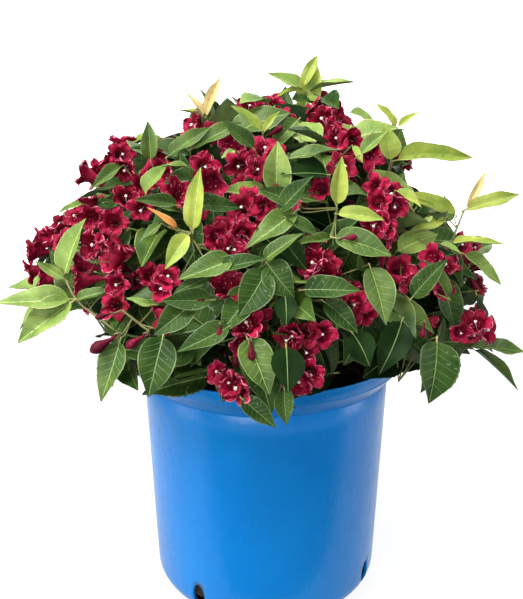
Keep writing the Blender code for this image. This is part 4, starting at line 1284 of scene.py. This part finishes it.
# The tints of a leading stem, from its first pair of leaves to its tip. The stems at the front keep dark tints
# out to their tips: painted shade on that side of the crown.
TIP_TINTS = {
    "crown_top": ("fresh", "lime", "lime"), "top_left": ("dark", "middle", "fresh"),
    "upper_right": ("fresh", "lime", "bronze"), "right": ("lime", "lime", "bronze"),
    "front": ("dark", "middle", "middle"), "top_front": ("dark", "dark", "dark"),
    "upper_front_left": ("dark", "middle", "middle"), "upper_front_right": ("dark", "middle", "fresh"),
    "low_front": ("dark", "dark", "middle"), "left": ("middle", "fresh", "fresh"),
    "upper_back": ("middle", "lime", "lime"), "low_back_left": ("middle", "fresh", "lime"),
    "upper_back_right": ("fresh", "lime", "bronze"),
}
SHADE_DEEP_SHARE, SHADE_DARK_SHARE, TOP_LIFT, TOP_FRESH_LIT_SHARE = 0.74, 0.84, 0.45, 0.18
TINT_DRAWS = {
    # Inner and filling leaves draw mostly deep and dark tints: painted shade in the crown, and partly older leaves.
    "inner": (("deep", 0.85), ("dark", 1.0)),
    "fill": (("deep", 0.40), ("dark", 0.80), ("middle", 1.0)),
    "fine": (("dark", 0.48), ("middle", 0.90), ("fresh", 1.0)),
    "flowering": (("dark", 0.55), ("middle", 0.92), ("fresh", 1.0)),
    "leafy": (("dark", 0.45), ("middle", 0.85), ("fresh", 1.0)),
    "leader": (("dark", 0.4), ("middle", 0.9), ("fresh", 1.0)),
}
# The length and the width of a leaf as shares of its solid's.
LEAF_SHARES = {"leader": (1.0, 0.78), "leafy": (0.90, 0.90), "flowering": (0.88, 0.90)}


def tint_of(name, kind, order, share_out, lift, rng):
    """The tint of one leaf, by its shoot, how far out and how high it lies, and a draw."""
    if kind == "leader" and name in TIP_TINTS:
        return TIP_TINTS[name][0 if order < 2 else 1 if order < 4 else 2]
    draw = rng.random()
    # Deep inside the crown's outline, leaves get the deep and dark tints: painted shade, and partly older leaves.
    if share_out < SHADE_DARK_SHARE:
        return "deep" if share_out < SHADE_DEEP_SHARE else "dark"
    # High up, fresh leaves come more often: partly young growth, partly painted light on the top of the crown.
    if lift > TOP_LIFT and draw > 1 - TOP_FRESH_LIT_SHARE:
        return "fresh"
    return next(tint for tint, up_to in TINT_DRAWS[kind] if draw <= up_to)


rng = random.Random("leaf tints")
dealt_leaves = {tint: [] for tint in LEAF_TINTS}
for name, kind, order, matrix in leaves:
    long, wide = LEAF_SHARES.get(kind, (1.0, 0.95))
    drawn = matrix @ Matrix.Diagonal((long, long * wide, long, 1))
    arm = drawn @ Vector((0.5, 0, 0)) - CENTRE
    tint = tint_of(name, kind, order, arm.length / fringe(arm.normalized()), arm.z / arm.length, rng)
    dealt_leaves[tint].append((rng.randrange(LEAF_VARIANTS), drawn))
for matrix, tint in standing:
    dealt_leaves[tint].append((rng.randrange(LEAF_VARIANTS), matrix))
print({tint: len(found) for tint, found in dealt_leaves.items()})

# %% Leaf blades and their finishes
LEAF_ROUGHNESS, LEAF_GLOSS, DARK_GLOSS = 0.48, 0.25, {"deep": 0.04, "dark": 0.09}
UNDERSIDE_ROUGHNESS, UNDERSIDE_GLOSS, PALE_GREEN, PALE_SHARE = 0.6, 0.34, (0.30, 0.40, 0.22), 0.3
LEAF_GRAIN = ((0.020, 0.34), (0.0022, 0.3), ((0.62, 0.66, 0.60), (1.15, 1.12, 1.1)), 0.35, (0.0016, 0.00016))
FOLIAGE_NODES = [f"foliage_{name}" for name in MASSES]


def paler(colour):
    """A colour moved towards the pale grey green of a leaf's underside."""
    return tuple(c + (p - c) * PALE_SHARE for c, p in zip(colour, PALE_GREEN))


def dealt_units(units, found):
    """The units of each variant, dealt to the leaves that have it."""
    places = [[matrix for variant, matrix in found if variant == number] for number in range(len(units))]
    return joined([dealt(unit, some) for unit, some in zip(units, places) if some])


for tint, found in dealt_leaves.items():
    blades = dealt_units(DEEP_BLADES if tint == "deep" else BLADES, found)
    gloss = DARK_GLOSS.get(tint, LEAF_GLOSS)
    finish = grained(f"leaf_{tint}", LEAF_TINTS[tint], LEAF_ROUGHNESS, gloss, *LEAF_GRAIN)
    add_piece(f"leaves_{tint}", blades, finish, FOLIAGE_NODES)
    if tint != "deep":
        pale = [paler(colour) for colour in LEAF_TINTS[tint]]
        finish = grained(f"underside_{tint}", pale, UNDERSIDE_ROUGHNESS, UNDERSIDE_GLOSS, *LEAF_GRAIN)
        add_piece(f"undersides_{tint}", dealt_units(UNDERSIDES, found), finish)

# %% Midribs, veins and stalks
VEIN_SHADE = 0.60
RIB_TINTS = {
    # The dark ribs go on the deep and dark leaves, in keeping with those leaves' painted shade.
    "dark": (("deep", "dark"), (0.120, 0.200, 0.050), (0.180, 0.260, 0.080)),
    "middle": (("middle",), (0.240, 0.340, 0.080), (0.330, 0.430, 0.120)),
    "light": (("fresh", "lime", "bronze", "orange"), (0.440, 0.520, 0.140), (0.580, 0.640, 0.240)),
}

for label, (tints, *colours) in RIB_TINTS.items():
    found = [leaf for tint in tints for leaf in dealt_leaves[tint]]
    outer = [leaf for tint in tints if tint != "deep" for leaf in dealt_leaves[tint]]
    rib_finish = mottled(f"midrib_{label}", *colours, 0.02, 0.5, 0.4)
    add_piece(f"midribs_{label}", dealt_units(MIDRIBS, found), rib_finish)
    vein_finish = mottled(f"vein_{label}", *[[v * VEIN_SHADE for v in c] for c in colours], 0.02, 0.5, 0.4)
    add_piece(f"side_veins_{label}", dealt_units(VEINS, outer), vein_finish)
every_leaf = [matrix for found in dealt_leaves.values() for _, matrix in found]
stalk_finish = mottled("leaf_stalk", (0.26, 0.33, 0.08), (0.42, 0.30, 0.12), 0.015, 0.5, 0.4)
add_piece("leaf_stalks", dealt(LEAF_STALK, every_leaf), stalk_finish)

# %% [markdown]
# ## Flowers
# A flower is a trumpet that opens into five rounded lobes, with a white knob of a stigma held out of its
# throat and five pale anthers around it. One sculpted flower could be copied, but grids shaped by formulas give
# six that open more or less widely. The parts are joined each kind apart, each with its own finish.

# %% Unit trumpet
# The tube and the bud: height and radius, as shares of the flower's length.
TUBE_RADII = ((0.02, 0.040), (0.20, 0.050), (0.38, 0.080), (0.54, 0.125), (0.68, 0.165), (0.76, 0.185))
BUD = ((0.0, 0), (0.02, 0.035), (0.30, 0.045), (0.48, 0.085), (0.70, 0.150), (0.86, 0.125), (0.96, 0.06), (1.0, 0))
LOBES, LOBE_LENGTH, LOBE_WIDTH = 5, 0.32, 0.212
LOBE_ROWS, LOBE_FOOT_ROWS, LOBE_COLUMNS, TUBE_SIDES = 8, 3, 7, 15
FLARES = (0.10, 0.25, 0.45, 0.65, 0.85, 1.05)
SIDE_VIEW_SETS, FRONT_SETS, SIDE_VIEW_GIRTH = (0, 1, 2), (2, 3, 4, 5), 1.25


def lobe_shape(number, flare, rng):
    """How one lobe turns, how long and wide it is, between which angles it opens, and how it curls and waves."""
    turn = tau * number / LOBES + rng.uniform(-0.16, 0.16)
    long, wide = LOBE_LENGTH * rng.uniform(0.80, 1.15), LOBE_WIDTH * rng.uniform(0.82, 1.15)
    opening = radians(14 + 14 * flare), radians(30 + 95 * flare * rng.uniform(0.60, 1.35))
    return turn, long, wide, opening, rng.uniform(-0.09, 0.08), rng.uniform(0.038, 0.080), rng.uniform(0, tau)


def on_lobe(s, t, shape):
    """Points of a lobe: s runs from the throat to its end, and t across it. It wraps round the mouth."""
    turn, long, wide, (start, end), cup, ruffle, phase = shape
    base_height, base_radius = TUBE_RADII[-1]
    angle = start + (end - start) * s
    radius = base_radius * 0.97 + long * (cos(start) - np.cos(angle)) / (end - start)
    height = base_height - 0.02 + long * (np.sin(angle) - sin(start)) / (end - start)
    width = wide * np.sqrt(np.clip(1 - (s * 0.995) ** 2.8, 0, 1)) * (0.80 + 0.45 * s)
    round_turn = turn + t * width / radius
    lift = cup * t**2 * s + ruffle * np.sin(5.5 * t + 4 * s + phase) * s
    radius, height = radius + lift * np.cos(angle), height - lift * np.sin(angle)
    return np.stack([radius * np.cos(round_turn), radius * np.sin(round_turn), height], axis=-1)


def unit_lobes(seed, flare):
    """The feet of five rounded lobes, their ends, and the ribbon that runs round each end's edge as a painted
    highlight.
    """
    rng = random.Random(seed)
    s, t = np.meshgrid(np.linspace(0, 1, LOBE_ROWS + 1), np.linspace(-1, 1, LOBE_COLUMNS), indexing="ij")
    run = np.linspace(-1, 1, 15)
    edge_s = 0.995 * (1 - 0.8 * np.abs(run) ** 2.6)
    edge_t = np.sign(run) * np.clip(np.abs(run) * 3, 0, 1)
    feet, ends, rim_highlights = [], [], []
    for number in range(LOBES):
        shape = lobe_shape(number, flare, rng)
        points = on_lobe(s, t, shape)
        for part, rows in ((feet, points[: LOBE_FOOT_ROWS + 1]), (ends, points[LOBE_FOOT_ROWS:])):
            part.append((rows.reshape(-1, 3), grid_faces(len(rows), LOBE_COLUMNS)))
        edge = [on_lobe(edge_s - back * 0.05, edge_t * (1 - back * 0.08), shape) for back in (0, 1)]
        rim_highlights.append(strip(*(row + [0, 0, 0.004] for row in edge)))
    return joined(feet), joined(ends), joined(rim_highlights)


def unit_tube():
    """The tube, with a soft ridge that leads to each lobe."""
    ridges = [(angle, height, radius * (1 + 0.07 * cos(LOBES * angle) * height))
              for height, radius in TUBE_RADII for angle in angles_round(TUBE_SIDES)]
    points = np.array([at_turn(angle, radius, height) for angle, height, radius in ridges])
    return points, grid_faces(len(TUBE_RADII), TUBE_SIDES, closed=True)


LOBE_SETS = [unit_lobes(f"lobes {number}", flare) for number, flare in enumerate(FLARES)]
print("faces of a tube:", len(unit_tube()[1]), "of its lobes:", len(LOBE_SETS[0][0][1]) + len(LOBE_SETS[0][1][1]))


# %% Unit stigma, anthers and calyx
def spindle(stations, sides):
    """A closed spindle along Z, through stations of (height, radius), with a point at each end."""
    points = [(0, 0, stations[0][0])]
    points += [at_turn(angle, radius, height) for height, radius in stations[1:-1] for angle in angles_round(sides)]
    points.append((0, 0, stations[-1][0]))
    top, last = 1 + (len(stations) - 3) * sides, len(points) - 1
    faces = [(0, 1 + (i + 1) % sides, 1 + i) for i in range(sides)]
    for ring in range(1, top, sides):
        for i in range(sides):
            a, b = ring + i, ring + (i + 1) % sides
            faces += [(a, b, b + sides), (a, b + sides, a + sides)]
    faces += [(top + i, top + (i + 1) % sides, last) for i in range(sides)]
    return np.array(points, dtype=float), np.array(faces)


KNOB = ((0.90, 0), (0.906, 0.024), (0.925, 0.040), (0.950, 0.038), (0.968, 0.020), (0.972, 0))
STIGMA = joined([spindle(KNOB, 10), spindle(((0.35, 0), (0.36, 0.010), (0.91, 0.010), (0.92, 0)), 5)])
grain, grain_faces = spindle(((0.76, 0), (0.775, 0.008), (0.82, 0.009), (0.835, 0)), 5)
leaning = 0.085 + 0.25 * (grain[:, 2:3] - 0.76)
ANTHERS = joined([(grain + np.array(at_turn(angle)) * leaning, grain_faces) for angle in angles_round(LOBES, 0.5)])
# Each row of a sepal: its height, its distance from the axis and its half width.
SEPAL_ROWS = ((0.0, 0.05, 0.035), (0.08, 0.075, 0.030), (0.18, 0.105, 0.003))
sepals = []
for angle in angles_round(5):
    out, side = np.array(at_turn(angle)), np.array([-sin(angle), cos(angle), 0])
    points = [out * r + side * w * k + np.array([0, 0, z]) for z, r, w in SEPAL_ROWS for k in (-1, 1)]
    sepals.append((np.array(points), grid_faces(3, 2)))
CALYX = joined(sepals)
print("faces of a stigma:", len(STIGMA[1]), "of the anthers:", len(ANTHERS[1]))

# %% [markdown]
# The corolla is a deep ruby red. The tube and the feet of the lobes are coloured darker, almost maroon: this is
# painted shade in the throat and under the lobes. A thin paler rim round each lobe's end is a painted highlight.
# One red could serve for all, but it would look moulded, so each part drifts between two reds from flower to
# flower, with a soft sheen and fine mottling.

# %% Deal out the flowers
STIGMA_SHARE, PETAL_GLOSS = 0.50, 0.12
PETAL_GRAIN = (
    (0.022, 0.32), (0.0028, 0.32), ((0.62, 0.55, 0.60), (1.20, 1.3, 1.25)), 1.0, (0.0014, 0.0005), (1, 1, 0.5),
)


def petals(name, first, second, roughness=0.5):
    return grained(name, (first, second), roughness, PETAL_GLOSS, *PETAL_GRAIN)


rng = random.Random("flower turns")
flower_places, by_set = [], []
sets_of = [(matrix, range(len(LOBE_SETS))) for matrix in flowers]
sets_of += [(matrix, SIDE_VIEW_SETS if side else FRONT_SETS) for matrix, side in zip(blossoms_seen, from_side)]
for matrix, sets in sets_of:
    size = rng.uniform(0.84, 1.10)
    fat = SIDE_VIEW_GIRTH if sets is SIDE_VIEW_SETS else 1.0
    turned_matrix = matrix @ Matrix.Rotation(rng.uniform(0, tau), 4, "Z")
    turned_matrix = turned_matrix @ Matrix.Diagonal((size * fat, size * fat, size, 1))
    flower_places.append(turned_matrix)
    by_set.append((rng.choice(sets), turned_matrix))
bud_places = buds + buds_seen
open_places = [matrix for matrix in flower_places if rng.random() < STIGMA_SHARE]
feet, ends, rim_highlights = (dealt_units(units, by_set) for units in zip(*LOBE_SETS))
tubes, bud_skins = dealt(unit_tube(), flower_places), dealt(spindle(BUD, 9), bud_places)
stigmas, anthers = dealt(STIGMA, open_places), dealt(ANTHERS, flower_places)
# The lobe feet and the tubes get darker reds: painted shade in the throat and under the lobes.
add_piece("lobe_feet", feet, petals("lobe_feet_painted_shade", (0.110, 0.0008, 0.008), (0.260, 0.0024, 0.024)))
add_piece("flower_lobes", ends, petals("ruby_lobes", (0.175, 0.0010, 0.013), (0.450, 0.0100, 0.060)))
# The pale rims are a painted highlight along the edges of the lobes.
add_piece("petal_rim_highlights", rim_highlights, petals("petal_rims_painted_highlight", (0.490, 0.068, 0.125), (0.780, 0.270, 0.350)))
add_piece("flower_tubes", tubes, petals("tubes_painted_shade", (0.130, 0.0010, 0.011), (0.350, 0.0100, 0.052)))
add_piece("stigmas", stigmas, mottled("white_stigma", (0.80, 0.70, 0.62), (0.90, 0.84, 0.78), 0.002, 0.5, 0.4))
add_piece("anthers", anthers, mottled("cream_anther", (0.46, 0.20, 0.15), (0.62, 0.36, 0.26), 0.002, 0.6, 0.3))
add_piece("buds", bud_skins, petals("maroon_buds", (0.055, 0.0012, 0.008), (0.150, 0.0036, 0.021), 0.4))
calyx_finish = mottled("green_calyx", (0.10, 0.16, 0.05), (0.16, 0.09, 0.05), 0.004, 0.5, 0.4)
add_piece("calyces", dealt(CALYX, flower_places + bud_places), calyx_finish)

# %% [markdown]
# ## Twigs
# Young weigela twigs are yellow green, flushed with red where the sun reaches them. A curve with a bevel would
# be quicker, but each twig here is a tapered tube that swells where a pair of leaves leaves it. A twig is cut
# back to its last leaf or flower, as a gardener would do.

# %% Twigs
TWIG_SIDES, FINE_SIDES, SWELL, BARE_GAP, CUT_STEPS = 6, 4, 1.35, 0.004, 16


def twig_tube(path, radius):
    """A twig with finer steps than its path and swollen joints."""
    fine = [first.lerp(second, step / 3) for first, second in zip(path, path[1:]) for step in range(3)] + [path[-1]]
    radii = []
    for share in [number / (len(fine) - 1) for number in range(len(fine))]:
        joint = max(0.0, 1 - abs(share - 0.6) * 14) + max(0.0, 1 - abs(share - 0.92) * 14)
        radii.append(radius * (1 + (TWIG_TAPER - 1) * share) * (1 + (SWELL - 1) * min(1.0, joint)))
    return tube(fine, radii, TWIG_SIDES if radius > FINE_RADIUS else FINE_SIDES)


feet = [matrix.translation for matrix in every_leaf + flower_places + bud_places]
feet_tree = KDTree(len(feet))
for number, foot in enumerate(feet):
    feet_tree.insert(foot, number)
feet_tree.balance()


def cut_back(path):
    """The path up to the last leaf or flower on it, or nothing where it bears none."""
    shares = [step / CUT_STEPS for step in range(CUT_STEPS + 1)]
    places = [(share, along(path, share)[0]) for share in shares]
    shares = [share for share, place in places if feet_tree.find(place)[2] < BARE_GAP and not in_sky([place])]
    return [along(path, shares[-1] * step / 4)[0] for step in range(5)] if shares else None


twigs = {"leader": [], "young": []}
rows = [(cut_back(path), radius, kind) for _, path, radius, kind, _ in shoots]
rows += [(path, radius, "whole") for path, radius in whole_twigs]
rows += [(cut_back(path), radius, "fine") for path, radius in fine_twigs]
for path, radius, kind in rows:
    if path:
        twigs["leader" if kind == "leader" else "young"].append(twig_tube(path, radius))
twig_finish = mottled("young_twig", (0.14, 0.21, 0.045), (0.18, 0.15, 0.05), 0.02, 0.5, 0.4, 0.0012, 0.0002)
add_piece("young_twigs", joined(twigs["young"]), twig_finish)
leader_finish = mottled("leading_stem", (0.17, 0.16, 0.06), (0.24, 0.13, 0.07), 0.02, 0.55, 0.4, 0.0014, 0.0003)
add_piece("leading_stems", joined(twigs["leader"]), leader_finish)

# %% [markdown]
# ## Bark
# The boughs and the stem base are woody, with grey brown bark that splits in long shallow fissures. A bump
# alone would leave the outline smooth, so the relief is real mesh: each surface is cut into fine rings, and
# every point is moved by ridges that run up the limb.

# %% Boughs and stem base
BOUGH_SIDES, BOUGH_BENDS, BARK_RELIEF, BASE_TURNS = 18, 26, 0.00022, 96
FLARE_RADIUS, FLARE_HEIGHT, WAIST_RADIUS, WAIST_HEIGHT = 0.021, 0.0025, 0.0125, 0.007


def ridges(turn, run, seed):
    """Bark ridges between -1 and 1 at a turn round the limb and a run along it."""
    wander = 0.5 * sin(run * 230 + seed) + 0.3 * sin(run * 610 + seed * 2)
    return sin(5 * turn + wander * 2 + seed) * 0.6 + sin(9 * turn - wander * 3 + run * 900) * 0.4


def bough_tube(name, seed):
    path = bough_path(name, BOUGH_BENDS)
    last = len(path) - 1
    radii = [BOUGH_FOOT_RADIUS + (BOUGH_TIP_RADIUS - BOUGH_FOOT_RADIUS) * i / last for i in range(last + 1)]
    points, faces = tube(path, radii, BOUGH_SIDES)
    for index in range(len(points)):
        ring, step = divmod(index, BOUGH_SIDES)
        away = (points[index] - np.array(path[ring])) / radii[ring]
        lift = BARK_RELIEF * ridges(tau * step / BOUGH_SIDES, 0.003 * ring, seed) - BARK_RELIEF * 0.8
        points[index] += away * lift
    return points, faces


bark_finish = mottled("grey_brown_bark", (0.060, 0.040, 0.026), (0.190, 0.140, 0.095), 0.004, 0.85, 0.3, 0.0009, 0.0005)
boughs = joined([bough_tube(name, number * 1.3) for number, name in enumerate(MASSES)])
add_piece("boughs_with_bark", boughs, bark_finish, [f"bough_{name}" for name in MASSES])
section = [(0.0005, KNOB_CENTRE.z + KNOB_RADIUS), *arc((0, KNOB_CENTRE.z), KNOB_RADIUS, 84, -22, 22)]
section += [(WAIST_RADIUS + 0.0006, GROUND + WAIST_HEIGHT + 0.002), (WAIST_RADIUS, GROUND + WAIST_HEIGHT)]
section += [(WAIST_RADIUS + 0.0010, GROUND + 0.0055), ((WAIST_RADIUS + FLARE_RADIUS) / 2, GROUND + FLARE_HEIGHT)]
section += [(FLARE_RADIUS - 0.001, GROUND + 0.0006), (FLARE_RADIUS, GROUND), (0.0005, GROUND)]
points, faces = turned(section, BASE_TURNS)
for point in points:
    reach = hypot(point[0], point[1])
    if reach > 0.002 and point[2] > GROUND + 0.0003:
        point[:2] *= 1 + 0.0005 * (ridges(atan2(point[1], point[0]) * 3, point[2] * 3, 1.7) - 0.9) / reach
stem_base = welded(mesh_from("stem_base_bark", points, faces))
add_piece("stem_base_with_bark", stem_base, bark_finish, ["stem_base"])

# %% [markdown]
# ## Floor and light
# The plant stands in a round white studio. The floor is a pale disc that glows a little, as an overlit sheet
# does, and a paper wall curves up out of it all round, so there is no horizon from any side. The wall neither
# lights the plant nor shows in the pot. A dark card on the floor in front isn't seen either: the pot's wall
# mirrors it in its middle, which keeps the blue deep there, and mirrors the bright floor on both sides as tall
# soft highlights. A soft light from the upper left models the leaves, one from the top brightens the tips, and
# weak ones from the sides and front fill the shade.

# %% Floor, wall and card
FLOOR_RADIUS, WALL_START, WALL_BEND, WALL_HEIGHT, STAGE_TURNS = 3.2, 1.2, 0.9, 3.6, 96
CARD = ((-0.055, -0.125), (0.105, -0.122), (0.62, -0.150), (0.62, -0.45), (0.30, -0.66), (-0.30, -0.66), (-0.62, -0.43))
CARD_HEIGHT = 0.0006


def stage_piece(name, made, greys, look, glow, seen=True, mirrored=True, shades=True):
    """A piece of the studio, its glow, and whether it is seen, shows in the pot and casts a shadow."""
    finish = mottled(name, *((grey, grey, grey) for grey in greys), *look)
    shader = finish.node_tree.nodes["Principled BSDF"]
    shader.inputs["Emission Color"].default_value = (1, 1, 1, 1)
    shader.inputs["Emission Strength"].default_value = glow
    mesh = mesh_from(name, *made)
    mesh.materials.append(finish)
    piece = placed(name, mesh)
    piece.visible_camera, piece.visible_diffuse = seen, False
    piece.visible_glossy, piece.visible_shadow = mirrored, shades


disc = turned([(0.001, 0.0), (WALL_START, 0.0), (FLOOR_RADIUS, 0.0)], STAGE_TURNS)
stage_piece("floor", disc, (0.19, 0.21), (0.4, 0.8, 0.1), 0.86)
curve = [(WALL_START + WALL_BEND * sin(a), WALL_BEND * (1 - cos(a)) + 0.0004) for a in np.linspace(0, pi / 2, 17)]
wall = turned(curve + [(WALL_START + WALL_BEND, WALL_HEIGHT), (0.001, WALL_HEIGHT)], STAGE_TURNS)
stage_piece("backdrop_wall", wall, (0.84, 0.86), (0.4, 0.8, 0.2), 1.0, mirrored=False, shades=False)
card = [(x, y, CARD_HEIGHT) for x, y in CARD], np.arange(len(CARD))[None]
stage_piece("dark_card", card, (0.012, 0.016), (0.2, 0.9, 0.1), 0.0, seen=False, shades=False)
print("the floor reaches", FLOOR_RADIUS, "m out, the wall", WALL_HEIGHT, "m up")

# %% Lights
# Each light: where it stands, what it aims at, its width, its height and its power.
LIGHTS = {
    "key": ((-0.8, -0.8, 1.6), (0, 0, 0.25), 0.6, 0.6, 39),
    "front_fill": ((-0.35, -1.4, 0.55), (0, 0, 0.05), 0.9, 0.4, 12),
    "left_strip": ((-1.3, -0.4, 0.5), (0, 0, 0.15), 0.6, 1.3, 8),
    "right_strip": ((1.35, -0.2, 0.5), (0, 0, 0.15), 0.5, 1.2, 10),
    "top": ((0.05, 0.05, 1.9), (0, 0, 0.3), 0.9, 0.9, 26),
    "back": ((0.3, 1.4, 1.0), (0, 0, 0.2), 0.8, 0.8, 9),
}
SKY_GLOW = 0.21

for name, (place, aim, width, height, power) in LIGHTS.items():
    data = bpy.data.lights.new(name, "AREA")
    data.shape = "RECTANGLE"
    data.size, data.size_y, data.energy = width, height, power
    light = placed(name, data)
    light.location = place
    light.rotation_euler = (Vector(aim) - Vector(place)).to_track_quat("-Z", "Y").to_euler()
world = bpy.data.worlds.new("studio")
world.use_nodes = True
world.node_tree.nodes["Background"].inputs["Color"].default_value = (1, 1, 1, 1)
world.node_tree.nodes["Background"].inputs["Strength"].default_value = SKY_GLOW
bpy.context.scene.world = world
bpy.context.scene.view_settings.view_transform = "Standard"
pieces = [o for o in bpy.context.scene.objects if o.type == "MESH"]
print("lights:", len(LIGHTS), "triangles in all:", sum(len(o.data.loop_triangles) for o in pieces))
